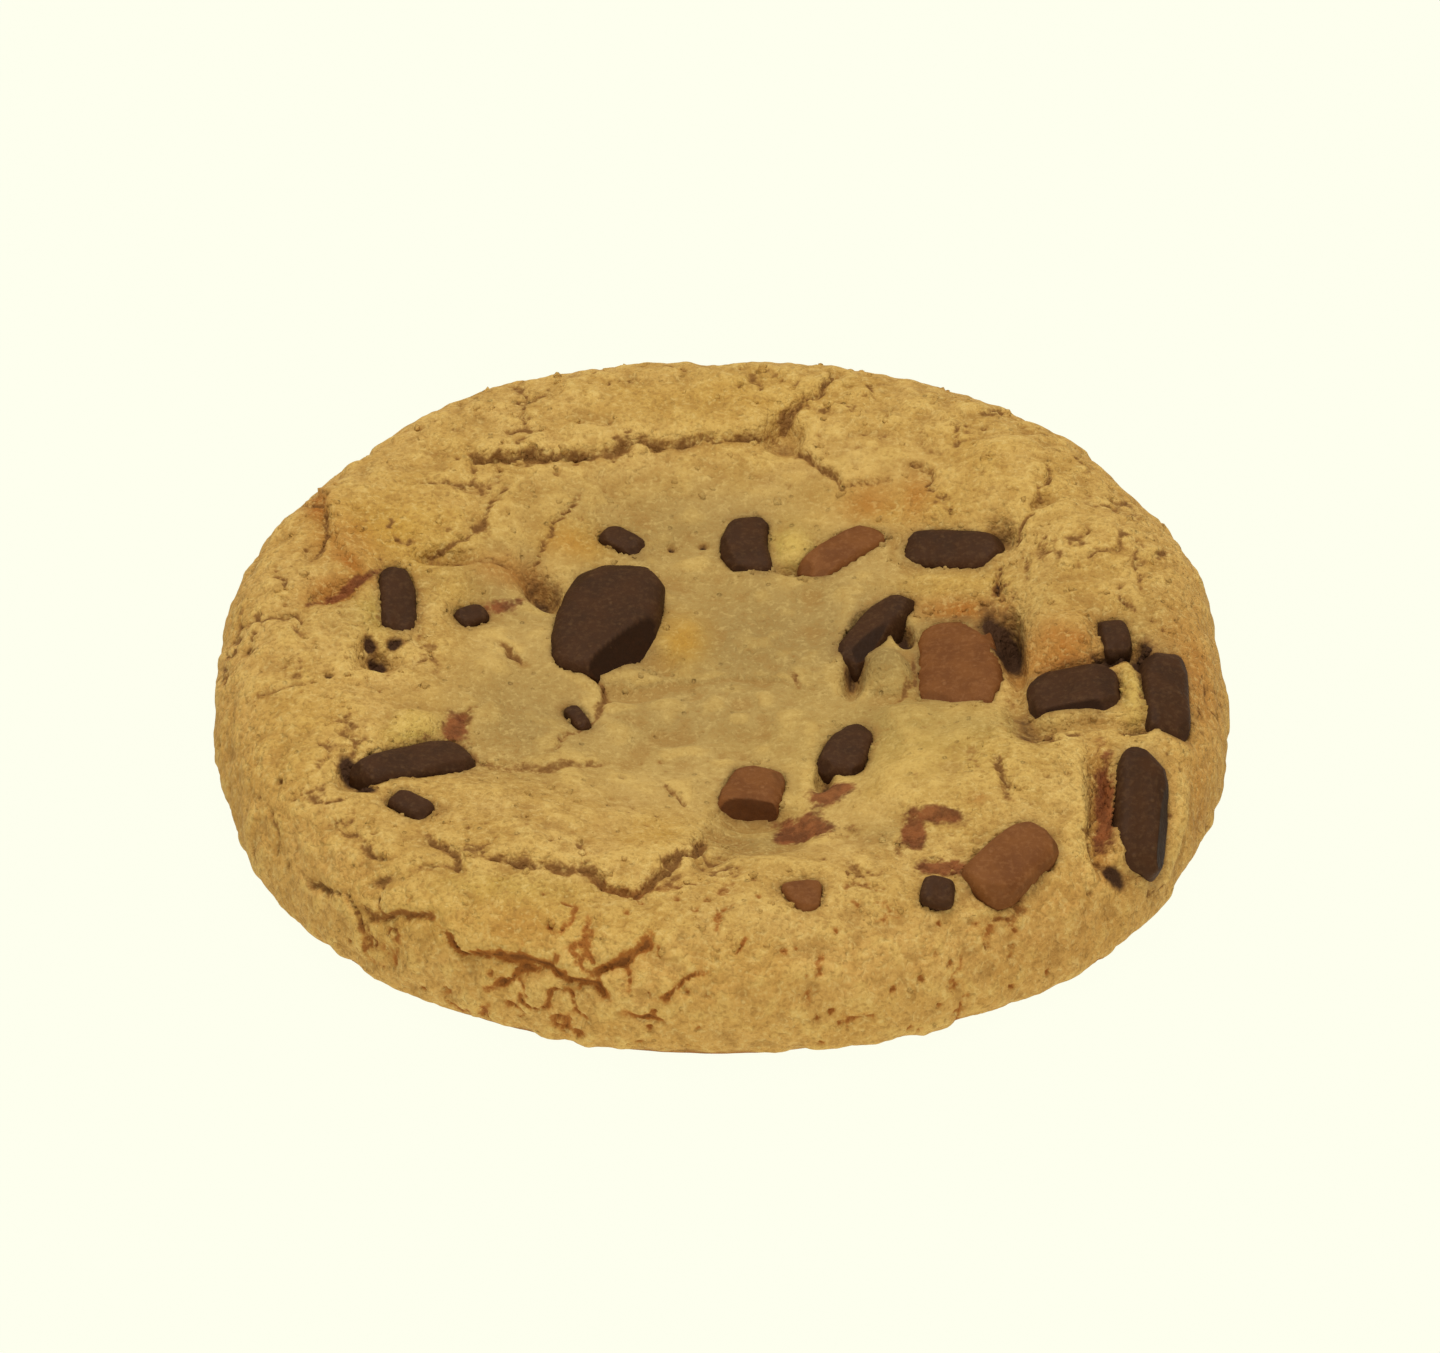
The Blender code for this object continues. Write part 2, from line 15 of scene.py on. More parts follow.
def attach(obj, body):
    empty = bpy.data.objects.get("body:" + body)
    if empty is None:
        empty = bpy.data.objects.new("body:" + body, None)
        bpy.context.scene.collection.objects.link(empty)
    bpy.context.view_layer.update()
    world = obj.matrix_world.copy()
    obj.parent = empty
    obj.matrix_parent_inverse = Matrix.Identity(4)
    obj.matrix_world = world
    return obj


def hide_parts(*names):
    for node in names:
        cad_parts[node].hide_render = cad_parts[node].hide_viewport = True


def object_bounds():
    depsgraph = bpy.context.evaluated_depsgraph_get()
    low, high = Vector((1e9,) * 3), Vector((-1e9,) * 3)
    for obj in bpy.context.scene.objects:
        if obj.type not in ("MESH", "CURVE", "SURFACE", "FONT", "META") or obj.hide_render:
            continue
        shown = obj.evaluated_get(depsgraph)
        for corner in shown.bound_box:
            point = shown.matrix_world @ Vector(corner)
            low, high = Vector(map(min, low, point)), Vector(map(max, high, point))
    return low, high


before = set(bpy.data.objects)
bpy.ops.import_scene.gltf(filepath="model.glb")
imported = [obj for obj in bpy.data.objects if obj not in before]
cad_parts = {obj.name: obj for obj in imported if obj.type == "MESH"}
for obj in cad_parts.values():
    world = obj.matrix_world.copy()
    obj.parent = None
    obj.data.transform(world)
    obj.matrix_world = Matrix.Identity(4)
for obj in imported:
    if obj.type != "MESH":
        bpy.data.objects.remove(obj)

CAD_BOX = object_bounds()
MILLIMETRE = 0.001

# The camera: its rise above the horizon, its distance, how many metres it sees,
# the photo's width in pixels, how many of them cover a millimetre, the width of
# its sensor, and where it aims
CAMERA_RISE = 38.0
CAMERA_DISTANCE = 1200.0
CAMERA_REACH = 20.0
PHOTO_WIDTH = 1440
PIXELS_PER_MILLIMETRE = 11.244
SENSOR_WIDTH = 36.0
AIM = (-0.17, 0.21, 7.25)

# The cookie's body, as in the solid: its smooth middle plate, rim, shoulder, waist
# and tucked foot
RADIUS = 44.75
CENTRE_HEIGHT = 8.8
RIM_HEIGHT = 11.75
RIM_TILT = 0.05
PLATE_RADIUS = 18.0
RIM_CREST_RADIUS = 34.0
SHOULDER = 7.5
SHOULDER_SQUARENESS = 2.2
WAIST_HEIGHT = 3.0
FOOT = 1.6
SLOPE_STEP = 0.4

# The outline's departures from a circle: direction and half-width in degrees,
# and height
SQUARE_LOBE = 0.30
LOBES = (
    (0.0, 6.0, -0.25),
    (20.0, 11.0, 1.0),
    (50.0, 22.0, 0.6),
    (63.0, 8.0, 0.8),
    (76.0, 8.0, 0.35),
    (90.0, 24.0, 0.75),
    (90.0, 6.0, -0.45),
    (120.0, 10.0, 1.2),
    (150.0, 18.0, 1.0),
    (145.0, 3.0, -0.4),
    (168.0, 6.0, 0.4),
    (203.0, 14.0, 1.0),
    (228.0, 16.0, 1.0),
    (270.0, 30.0, 0.85),
    (283.0, 9.0, -0.3),
    (324.0, 16.0, 0.85),
    (343.0, 7.0, 0.3),
)

# Where the middle of the outline's box lies, which the solids have at the origin
BOX_MIDDLE = (0.08, -0.21)

# Raised plates, mounds and hollows: chart place, half-lengths, turn in
# degrees, height, and how flat the top is
MOUNDS = (
    ((-13.0, -24.0), (10.5, 9.0), 4.0, 0.9, 6),
    ((-16.5, -7.5), (7.0, 8.0), 10.0, 0.6, 6),
    ((20.5, -15.5), (9.0, 9.0), -15.0, 1.3, 4),
    ((-15.0, -37.5), (11.0, 3.2), -12.0, 0.5, 4),
    ((5.0, -34.0), (7.0, 4.0), -4.0, 0.6, 4),
    ((31.5, 8.5), (5.5, 9.0), 0.0, 0.7, 4),
    ((30.6, 0.6), (3.3, 3.4), 0.0, 1.1, 3),
    ((19.5, 10.3), (4.6, 2.0), -12.0, 0.9, 4),
    ((-24.0, 8.5), (2.8, 4.5), 15.0, 0.8, 3),
    ((-20.0, 27.0), (14.0, 5.0), 15.0, -0.4, 2),
    ((14.8, -1.3), (1.9, 3.0), 20.0, 1.4, 4),
    ((-26.3, -11.4), (1.6, 2.0), -20.0, 1.0, 4),
    ((6.8, 17.2), (1.2, 1.7), 10.0, 0.6, 3),
    ((23.0, 21.0), (6.5, 5.0), 25.0, 0.5, 4),
    ((0.0, 5.0), (9.0, 12.0), 0.0, -0.4, 4),
    ((-3.0, -8.0), (9.0, 6.0), 0.0, -0.4, 4),
    ((40.6, -21.6), (1.3, 6.0), 4.0, 0.9, 4),
    ((-15.7, 10.2), (1.2, 2.4), 20.0, -1.5, 3),
    ((-9.0, -3.4), (3.4, 1.5), 10.0, -1.0, 3),
    ((25.9, 0.6), (1.1, 4.4), 5.0, -2.4, 4),
    ((16.2, 4.8), (1.0, 2.0), 15.0, -1.6, 4),
    ((11.9, -1.8), (0.8, 2.2), -10.0, -1.6, 3),
    ((-33.6, 6.8), (2.4, 1.1), 35.0, -1.3, 3),
    ((-30.3, -1.7), (2.0, 1.9), 0.0, -1.9, 3),
    ((-24.2, 13.0), (2.1, 1.1), 12.0, -1.4, 3),
    ((32.6, -22.6), (1.2, 5.6), 4.0, -2.0, 4),
    ((5.6, 30.0), (1.6, 1.9), 15.0, -1.6, 4),
    ((28.3, 18.6), (1.1, 0.8), 20.0, -1.1, 3),
    ((3.2, -24.8), (4.2, 3.4), -10.0, -1.1, 4),
    ((26.6, -10.5), (1.8, 4.0), 10.0, -1.0, 3),
    ((24.6, 15.2), (1.2, 1.8), 15.0, -1.4, 3),
    ((-31.6, -19.2), (1.6, 1.6), -30.0, -1.3, 3),
    ((9.1, -15.9), (0.9, 2.0), -10.0, -1.4, 3),
)

# Hollows and a ridge that only this surface has, in the same order of values
SMALL_HOLLOWS = (
    ((-8.4, 0.4), (3.4, 1.8), 12.0, -1.0, 3),
    ((37.2, -1.8), (0.9, 2.4), 14.0, -1.4, 3),
    ((34.4, -2.6), (1.4, 0.9), 30.0, -1.0, 3),
    ((36.2, -11.8), (1.5, 0.9), 10.0, -0.9, 3),
    ((36.1, -7.2), (0.8, 2.9), 0.0, 0.7, 4),
    ((24.6, 3.6), (1.0, 2.6), 22.0, -0.9, 3),
    ((2.8, -21.0), (2.8, 1.3), 5.0, -1.3, 3),
    ((30.8, -11.4), (4.0, 1.0), 4.0, -0.9, 3),
    ((-16.2, 11.0), (1.4, 2.4), 25.0, -0.6, 3),
    ((24.6, 16.4), (1.8, 1.6), -20.0, -0.6, 3),
    ((6.4, 14.4), (1.4, 0.8), 0.0, -0.7, 3),
    ((-1.0, -30.0), (2.4, 1.0), 55.0, -0.5, 3),
    ((-7.4, -33.0), (3.0, 1.2), 10.0, -0.6, 3),
)

# Cracks: width, depth, how much higher the left bank is for someone who walks
# along it, and the chart points it runs through
CRACKS = (
    (0.8, 1.2, 0.8, ((-22.4, 26.2), (-20.6, 25.3), (-15.0, 25.8), (-10.0, 27.4), (-7.6, 28.9),
                     (-3.2, 28.8), (-1.6, 30.0), (0.2, 29.4), (5.0, 30.6))),
    (0.9, 1.1, 0.5, ((5.2, 30.5), (5.4, 33.0), (8.2, 34.6), (9.2, 36.2), (10.6, 39.5))),
    (0.8, 1.0, 0.6, ((5.8, 28.6), (10.0, 25.3), (11.0, 23.2), (13.0, 23.7), (14.6, 23.6))),
    (0.6, 0.8, 0.3, ((15.4, 25.2), (17.6, 24.9), (18.7, 23.4), (18.0, 22.2), (18.7, 21.0),
                     (20.0, 19.8))),
    (0.6, 0.8, 0.2, ((28.0, 24.0), (28.9, 21.2), (28.5, 18.9), (27.0, 16.4), (26.2, 14.2),
                     (24.6, 13.8))),
    (0.7, 1.2, 0.3, ((23.8, 12.8), (24.0, 9.4), (24.4, 7.2))),
    (0.6, 0.7, -0.2, ((-11.9, 23.4), (-13.2, 21.0), (-14.7, 19.2), (-15.6, 16.4), (-16.8, 13.2))),
    (0.8, 0.7, 0.4, ((-18.6, 23.0), (-20.6, 20.0), (-21.6, 17.6), (-22.2, 15.2), (-25.8, 12.8))),
    (0.7, 0.8, -0.4, ((-12.6, -1.2), (-10.5, -3.9), (-11.2, -7.6), (-14.2, -10.8), (-15.4, -14.0))),
    (0.8, 0.8, 0.5, ((-26.2, -25.2), (-24.3, -27.4), (-22.4, -29.8), (-21.2, -32.2))),
    (1.1, 1.0, 0.6, ((-20.0, -30.2), (-15.0, -31.3), (-10.3, -33.4), (-7.0, -35.0), (-5.1, -31.9),
                     (-2.2, -28.9), (-1.2, -24.4))),
    (0.7, 0.8, 0.3, ((-4.9, -16.8), (-4.0, -18.8), (-3.1, -21.4))),
    (0.8, 0.7, 0.4, ((-32.6, -36.4), (-32.2, -33.8), (-33.0, -31.6), (-36.2, -29.8), (-38.4, -27.8))),
    (0.8, 0.7, 0.4, ((-31.6, -33.2), (-28.0, -34.8), (-23.6, -36.0))),
    (0.8, 0.8, 0.5, ((-24.2, -36.4), (-23.0, -39.4), (-19.0, -41.0), (-15.4, -42.6), (-12.4, -44.3),
                     (-9.8, -46.0))),
    (0.8, 0.7, 0.3, ((-12.0, -43.8), (-10.4, -43.0), (-8.0, -42.2), (-6.6, -40.9), (-5.7, -39.6))),
    (0.7, 0.7, 0.3, ((-9.0, -46.8), (-4.9, -48.4))),
    (0.8, 0.6, 0.3, ((10.8, -30.0), (11.5, -31.5), (13.0, -33.3))),
    (0.7, 0.8, 0.4, ((33.6, -16.4), (32.6, -19.5), (31.8, -23.5), (32.0, -27.4), (34.4, -29.6))),
    (0.7, 0.6, -0.3, ((-42.2, 3.4), (-38.0, 3.0), (-37.0, -0.6))),
    (0.7, 0.6, 0.7, ((-38.4, 23.0), (-35.6, 19.5), (-34.9, 15.5), (-35.4, 11.0))),
)

# How far a crack's raised bank reaches, over what length a crack fades at its ends,
# what is left of it there, and how far and over what size its route wanders
BANK_REACH = 3.5
CRACK_TAPER = 2.5
CRACK_END = 0.25
CRACK_WANDER = 0.7
CRACK_WANDER_SIZE = 3.0

# Finer cracks and pits that only this surface has room for
FINE_CRACKS = (
    (0.5, 0.6, 0.1, ((-20.2, 3.2), (-18.6, 1.2), (-17.4, -0.6))),
    (0.4, 0.5, 0.1, ((-20.6, -6.9), (-22.0, -8.2), (-22.4, -10.4))),
    (0.4, 0.5, 0.1, ((35.8, 7.2), (36.4, 5.4), (37.4, 4.2))),
    (0.5, 0.5, 0.1, ((-22.0, -43.8), (-19.0, -43.2), (-16.0, -42.9))),
    (0.5, 0.5, 0.1, ((-6.2, -45.6), (-3.6, -44.6), (-0.9, -43.4))),
    (0.5, 0.5, 0.1, ((0.9, -42.4), (1.6, -41.0), (2.6, -40.4))),
    (0.4, 0.5, 0.1, ((8.6, -44.0), (8.8, -42.0))),
    (0.4, 0.5, 0.1, ((7.6, -46.8), (8.2, -45.4))),
    (0.4, 0.4, 0.1, ((7.0, -38.4), (7.1, -40.2))),
    (0.4, 0.4, 0.1, ((1.2, -36.4), (0.0, -38.2), (-0.2, -40.2))),
    (0.5, 0.5, 0.1, ((-24.2, -47.2), (-22.0, -44.6))),
    (0.5, 0.5, 0.1, ((15.0, -30.0), (15.6, -27.6))),
    (0.4, 0.5, 0.1, ((5.9, -0.4), (6.6, -1.6), (7.2, -3.0))),
    (0.4, 0.4, 0.1, ((-5.4, -12.6), (-4.6, -14.2))),
    (0.4, 0.5, 0.1, ((23.6, -15.6), (24.2, -19.0), (24.8, -22.6))),
    (0.6, 0.4, 0.5, ((-22.4, -11.6), (-21.6, -14.6), (-18.6, -15.7), (-14.0, -15.4), (-10.0, -14.2))),
    (0.3, 0.2, 0.3, ((-8.4, -2.6), (-4.6, -1.6), (0.6, -1.3), (5.0, -1.8), (9.2, -3.4))),
    (0.3, 0.2, 1.0, ((-35.8, 24.4), (-35.2, 20.0), (-34.6, 16.0), (-33.4, 12.6), (-30.6, 9.6))),
    (0.4, 0.4, 0.4, ((-26.0, 13.4), (-23.0, 12.2), (-20.0, 12.6), (-17.0, 12.4))),
    (0.35, 0.4, 0.2, ((-43.0, -7.6), (-38.6, -6.6), (-35.0, -6.2))),
    (0.35, 0.4, 0.2, ((25.6, 13.6), (26.6, 11.0), (26.4, 8.4))),
    (0.35, 0.4, 0.1, ((-26.8, -31.6), (-23.8, -30.8), (-20.4, -31.4))),
    (0.35, 0.4, 0.1, ((-33.4, -24.6), (-30.2, -27.2), (-28.6, -29.6))),
    (0.4, 0.5, 0.1, ((39.2, 13.4), (38.8, 11.6), (38.2, 10.2))),
    (0.4, 0.5, 0.2, ((16.9, 1.4), (17.0, -1.6), (16.0, -4.4), (15.0, -5.6))),
    (0.35, 0.5, 0.1, ((-30.8, -28.4), (-29.0, -28.6), (-27.2, -29.3))),
    (0.35, 0.5, 0.1, ((-30.6, -31.2), (-29.0, -31.0), (-27.2, -30.7))),
    (0.35, 0.5, 0.1, ((-5.4, -41.0), (-5.6, -43.0))),
    (0.35, 0.4, 0.2, ((-39.2, -19.2), (-38.8, -23.0), (-40.6, -24.8))),
    (0.4, 0.5, 0.1, ((22.0, -46.8), (23.4, -45.0))),
)

# Lumpiness of the dough: grain size and height of each layer. Those of the solid
# come first, then finer ones that grow with the crust from a least strength, and
# ones that are strongest in the smooth middle
LUMPS = ((15.0, 0.55), (6.5, 0.32), (3.0, 0.15))
FINE_LUMPS = ((1.7, 0.15), (0.9, 0.06))
FINE_LUMPS_LEAST = 0.5
MIDDLE_LUMPS = ((4.2, 0.4), (2.2, 0.22))
MIDDLE_LUMPS_MOST = 1.25

# The crumbly side, as in the solid: grain size and depth, and where it begins
RIM_CRUMBLE = (2.2, 0.2)
RIM_START = 34.0
RIM_BLEND = 6.0

# How sharp the edges of mounds and patches are, and steps to other parts of the
# random lattices
MOUND_EDGE = 0.7
LATTICE_SHIFT = 100.0
ELSEWHERE = 50.0

# The crumbly crust outside the smooth middle: where it begins and how softly,
# size and reach of the wander of its edge, and how much of it the middle has
CRUST_START = 19.0
CRUST_BLEND = 14.0
CRUST_WANDER = (9.0, 7.0)
CRUST_LEAST = 0.22

# Its bumps: size and height of each layer, and their half-width in cells
BUMPS = ((2.3, 0.13), (1.2, 0.12))
BUMP_REACH = 0.45

# Its splits: size, depth and sharpness, share of finer grain, size of the
# patches that have them, and how brown they are
SPLITS = (2.4, 0.42, 0.13)
SPLIT_DETAIL = 0.4
SPLIT_PATCHES = 4.2
SPLIT_BROWNING = 0.85

# Its pits: size, reach, depth and rarity, how much less rare they are where it is
# toasted, how soft their edge is, how strong they are in the smooth middle, and
# how brown they are
PITS = (1.7, 0.28, 0.42, 0.76)
PITS_MORE = 0.26
PIT_SOFTNESS = 0.6
PIT_LEAST = 0.25
PIT_BROWNING = 0.6

# Cracks are finer here than in the solid: shares of its width and depth, what
# toasting adds to the share of width, and size and reach of each layer of wander
# that makes their edges ragged
CRACK_WIDTH_SHARE = 0.54
CRACK_DEPTH_SHARE = 0.85
TOASTED_WIDENING = 0.25
RAGGED = ((1.3, 0.36), (0.65, 0.22))

# How uneven their width is, and over what size. Their strength comes and goes
# along stretches of a size, but never falls below a least one
CRACK_UNEVENNESS = 0.7
CRACK_UNEVEN_SIZE = 1.4
CRACK_STRETCH = 3.8
CRACK_LEAST = 0.75
CRACK_COLOUR_WIDTH = 1.15

# A crack as shallow as this is a fold, which hasn't browned
FOLD_DEPTH = 0.25

# Mesh fineness
RINGS = 165
UNDERSIDE_RINGS = (600, 360, 216, 120, 72, 36, 12, 1)
CHUNK_CELLS = 26

# A cavity is where the dough lies below its surroundings, averaged over so many
# rounds of neighbours, and this height in millimetres below counts as full. Shade
# is painted into cavities and light onto crests, where the dough stands above them
CAVITY_ROUNDS = 14
CAVITY_HEIGHT = 0.13

# How far pale bits stand up, and how deep the dough drops under dark holes and painted shade
PALE_RISE = 0.4
DARK_DROP = 0.9

# Chunks are as uneven as their solids, with flatter tops and broken edges: how
# many breaks, their depth as a share of the chunk, their rise in degrees, how
# fresh they look, and how soon that fades at their edge
CHUNK_SQUARENESS = 3.6
CHUNK_TOP_SQUARENESS = 5.0
CHUNK_UNEVENNESS = 0.07
CHUNK_UNEVEN_SIZE = 0.8
CHUNK_GRAIN_STEP = 7.0
CHUNK_BEND_MIDDLE = 0.35
CHUNK_GROWTH = 0.99
CHUNK_BREAKS = 8
CHUNK_BREAK_DEPTH = (0.005, 0.03)
CHUNK_BREAK_RISE = (20.0, 70.0)
BREAK_FRESHNESS = 0.35
BREAK_EDGE = 0.12
CHUNK_ROUGHNESS = ((1.6, 0.07), (0.7, 0.04))

# The floor's half-width, its place a hair below the underside, its colour and
# glow, then the sky's light and the lamps: place, size in metres, and power
FLOOR_HALF = 1500.0
FLOOR_HEIGHT = -0.02
FLOOR_COLOUR = (0.99, 1.0, 0.855)
FLOOR_GLOW = 0.99
SKY_COLOUR = (1.0, 0.985, 0.93)
SKY_LIGHT = 0.5
LAMPS = (
    ((-0.04, 0.24, 0.92), 0.5, 5.4),
    ((0.2, -0.7, 0.9), 1.0, 1.0),
    ((0.1, -0.9, 0.12), 0.6, 2.4),
)

# How the dough meets a chunk: it goes on past the chunk's side by an inset that
# varies along the side, then drops by a depth over a short run. A lip of dough
# stands up along parts of the side, and near the side a darker brown is painted,
# partly melted chocolate stain and partly painted contact shade
TUCK_INSET = (0.0, 0.1)
TUCK_RUN = 0.25
TUCK_DEPTH = 2.6
TUCK_PATCHES = 2.4
TUCK_RAGGED = (0.9, 0.08)
LIP_HEIGHT = 0.3
LIP_REACH = 0.5
LIP_GAPS = 0.25
STAIN_AND_SHADE_REACH = 0.3

# Dough that would stand higher than this below a chunk's top is eased down to
# it, within a reach of the chunk's side
SETTLE_DROP = 0.65
SETTLE_REACH = 1.6

# Where the cracks turn from dark brown to toasted orange brown: towards the front,
# and away from the chart's middle
TOAST_START = 31.0
TOAST_BLEND = 8.0
TOAST_RADIUS = 25.0
TOAST_RADIUS_BLEND = 12.0

# Where the side's warmer tan begins, and where the middle's duller tan ends
SIDE_START = 38.0
SIDE_BLEND = 9.0
MIDDLE_END = 29.0
MIDDLE_BLEND = 14.0

# Where dough lies over a chunk's end: chart place, half-lengths, turn, strength
COVERS = (
    ((14.9, -0.9), (1.9, 3.0), 20.0, 1.0),
    ((31.0, -2.0), (2.8, 1.7), 0.0, 1.0),
    ((18.4, -8.0), (4.2, 2.2), -10.0, 1.0),
    ((37.4, -28.2), (2.6, 1.6), 0.0, 1.0),
    ((40.4, -13.9), (2.0, 0.9), 0.0, 1.0),
)

# Loose crumbs: how many lie along each millimetre of a chunk's side, and in what
# band round its outline, how many lie on the crust, and between what distances
# from the middle. Then their half-sizes, how much longer or shorter each side
# may be, how uneven they are, and how deep they sit as a share of their size
SIDE_CRUMBS = 0.3
SIDE_CRUMBS_BAND = (0.98, 1.12)
CRUST_CRUMBS = 420
CRUST_CRUMBS_REACH = (23.0, 43.0)
CRUMB_SIZES = (0.16, 0.42)
CRUMB_STRETCH = (0.7, 1.25)
CRUMB_UNEVENNESS = 0.22
CRUMB_SINK = 0.5
CRUMB_CELLS = 2


class Chunk:
    """A chocolate chunk as in the solids: place, half-sizes, turn, lift, tips, taper and bend.

    A shaded cut is a flat face that only this surface has, in the full colour of a
    fresh break, which paints shade onto that face: the direction that it faces, its
    distance from the middle, and how far it leans upwards.
    """

    def __init__(self, at, halves, turn, lift, pitch=0.0, roll=0.0, taper=0.0, bend=0.0, cut=None):
        self.at = at
        self.halves = halves
        self.turn = turn
        self.lift = lift
        self.pitch = pitch
        self.roll = roll
        self.taper = taper
        self.bend = bend
        self.cut = cut


# The chunks, by the names of their solids. Shaded cuts paint shade onto a flat face of some of them
CHUNKS = {
    "dark_chunk_big": Chunk((-10.0, 5.6), (8.0, 4.5, 3.3), 80, -1.8, roll=-3, taper=-0.04, bend=0.4,
                            cut=(-122, 4.5, 35)),
    "dark_chunk_kidney": Chunk((2.4, 17.6), (4.1, 2.2, 2.2), 92, -1.9, bend=0.9),
    "milk_chunk_sliver": Chunk((10.8, 16.2), (4.6, 1.95, 2.0), 40, -1.7, taper=0.05, bend=0.4),
    "dark_chunk_right": Chunk((20.2, 14.9), (4.7, 2.35, 2.4), -16, -2.1, taper=0.05),
    "dark_chunk_rod": Chunk((13.4, 5.2), (5.6, 1.9, 2.4), 61, -2.0, roll=-12, taper=0.05, bend=0.3,
                            cut=(-106, 2.44, 62)),
    "milk_chunk_big": Chunk((20.9, 0.2), (7.0, 3.85, 3.0), 94, -2.8, pitch=-2, taper=-0.08),
    "dark_chunk_sunk": Chunk((31.0, -6.8), (4.2, 3.7, 3.0), 4, -2.8, cut=(-94, 3.78, 41)),
    "dark_chunk_stub": Chunk((35.4, 0.5), (2.6, 1.45, 2.0), 98, -1.9),
    "dark_chunk_edge": Chunk((39.7, -7.3), (5.8, 2.2, 2.6), 92, -2.2, taper=-0.05),
    "dark_chunk_side": Chunk((36.4, -22.0), (6.3, 2.5, 2.7), 95, -2.0, roll=-18, taper=-0.04,
                             cut=(-95, 2.75, 35)),
    "milk_chunk_front": Chunk((24.7, -30.3), (5.0, 2.9, 2.6), 52, -1.9),
    "dark_chip_front": Chunk((18.6, -34.8), (1.6, 1.45, 1.4), 80, -0.9),
    "dark_chunk_kite": Chunk((11.2, -11.8), (3.6, 2.05, 2.3), 70, -2.0, taper=-0.15),
    "milk_chunk_low": Chunk((2.8, -17.7), (3.7, 2.8, 2.6), 75, -2.1, taper=-0.12,
                            cut=(-165, 3.17, 28)),
    "dark_chunk_left_front": Chunk((-26.0, -16.1), (5.7, 2.35, 2.4), 28, -2.1, taper=0.22),
    "dark_chip_left_front": Chunk((-26.1, -22.4), (2.2, 1.35, 1.5), -40, -1.2),
    "dark_chunk_left": Chunk((-28.3, 6.3), (4.7, 1.75, 2.3), 92, -2.0, taper=0.04),
    "dark_chip_left": Chunk((-22.0, 6.1), (1.6, 1.1, 1.2), 35, -0.9),
    "dark_chip_back": Chunk((-8.8, 17.6), (2.2, 1.35, 1.3), -35, -1.0),
    "dark_chip_middle": Chunk((-12.7, -7.6), (1.8, 0.8, 1.2), -62, -0.9),
    "milk_chip_front": Chunk((7.2, -35.7), (2.0, 1.6, 1.3), -80, -0.8, taper=-0.35),
}

# Patches of colour on the dough: chart place, half-lengths, turn and strength
ORANGE_PATCHES = (
    ((30.3, -2.2), (4.2, 3.4), -10.0, 1.4),
    ((21.2, 7.2), (3.4, 1.2), -14.0, 1.2),
    ((-35.6, 20.6), (1.1, 2.8), 10.0, 1.5),
    ((-32.6, 10.8), (2.8, 1.0), -50.0, 1.3),
    ((-3.4, 4.6), (1.3, 2.4), 0.0, 0.2),
    ((13.2, 21.6), (2.2, 1.6), 0.0, 0.9),
    ((17.2, 21.3), (1.4, 2.2), 0.0, 0.9),
    ((-18.6, 12.2), (2.6, 1.6), 0.0, 1.0),
    ((-33.0, 13.4), (2.4, 3.4), 30.0, 0.9),
    ((-34.0, 7.2), (2.6, 1.6), 30.0, 1.2),
    ((-17.6, -38.4), (2.6, 1.4), -10.0, 0.5),
    ((33.0, -22.5), (1.1, 6.0), 4.0, 0.9),
    ((22.0, -22.6), (0.6, 0.6), 0.0, 0.8),
    ((43.0, -3.0), (3.0, 6.0), 10.0, 0.9),
    ((44.5, -17.0), (2.2, 5.0), 20.0, 0.6),
    ((-13.0, 16.6), (2.4, 2.0), 0.0, 0.55),
    ((31.0, -37.0), (6.0, 4.0), 40.0, 0.35),
)
GOLD_PATCHES = (
    ((-28.5, 15.5), (5.4, 4.4), 20.0, 1.2),
    ((-12.9, 17.0), (2.6, 1.8), 0.0, 1.0),
    ((-3.4, 4.2), (1.7, 2.8), 0.0, 1.5),
    ((-23.6, 8.6), (2.2, 2.6), 0.0, 0.5),
    ((15.0, 20.6), (5.2, 2.0), -8.0, 0.7),
    ((20.0, 10.4), (4.4, 1.6), -12.0, 0.8),
    ((34.0, 12.0), (4.0, 6.0), 0.0, 0.1),
    ((-5.4, -26.5), (1.8, 3.4), -30.0, 0.8),
    ((-18.0, -37.5), (9.0, 3.0), -10.0, 0.6),
    ((-36.0, -12.0), (4.0, 6.0), 0.0, 0.5),
    ((0.0, 35.0), (9.0, 3.0), 0.0, 0.5),
    ((24.0, 24.0), (5.0, 3.0), -30.0, 0.4),
)
PALE_PATCHES = (
    ((-26.3, -12.5), (1.8, 2.6), -20.0, 0.9),
    ((36.2, -6.8), (0.9, 3.8), 0.0, 1.0),
    ((6.4, 17.2), (1.5, 1.9), 30.0, 1.0),
    ((-31.0, 4.5), (1.2, 3.0), 10.0, 0.6),
    ((-18.0, -34.0), (6.0, 1.6), -8.0, 0.5),
    ((-12.0, 17.0), (2.2, 2.2), 0.0, 0.4),
    ((18.0, -14.0), (9.0, 8.0), 0.0, 0.35),
)
STAINS = (
    ((-32.9, 7.6), (3.5, 0.5), 38.0, 1.1),
    ((33.2, -21.8), (0.9, 5.4), 4.0, 1.1),
    ((9.8, -18.9), (1.9, 1.4), 20.0, 1.2),
    ((7.2, -23.5), (2.7, 1.9), -35.0, 1.2),
    ((8.6, -26.2), (1.4, 0.8), -20.0, 0.5),
    ((16.5, -26.5), (0.9, 1.9), 8.0, 1.3),
    ((18.4, -24.3), (2.0, 0.9), -12.0, 1.2),
    ((18.9, -31.0), (1.9, 1.1), 8.0, 1.2),
    ((20.0, -28.4), (0.6, 1.2), 20.0, 0.4),
    ((-19.4, 7.8), (2.4, 0.9), 25.0, 0.9),
    ((-23.0, -10.6), (1.0, 2.2), 0.0, 1.1),
    ((11.4, -6.8), (1.8, 0.8), 40.0, 0.4),
)
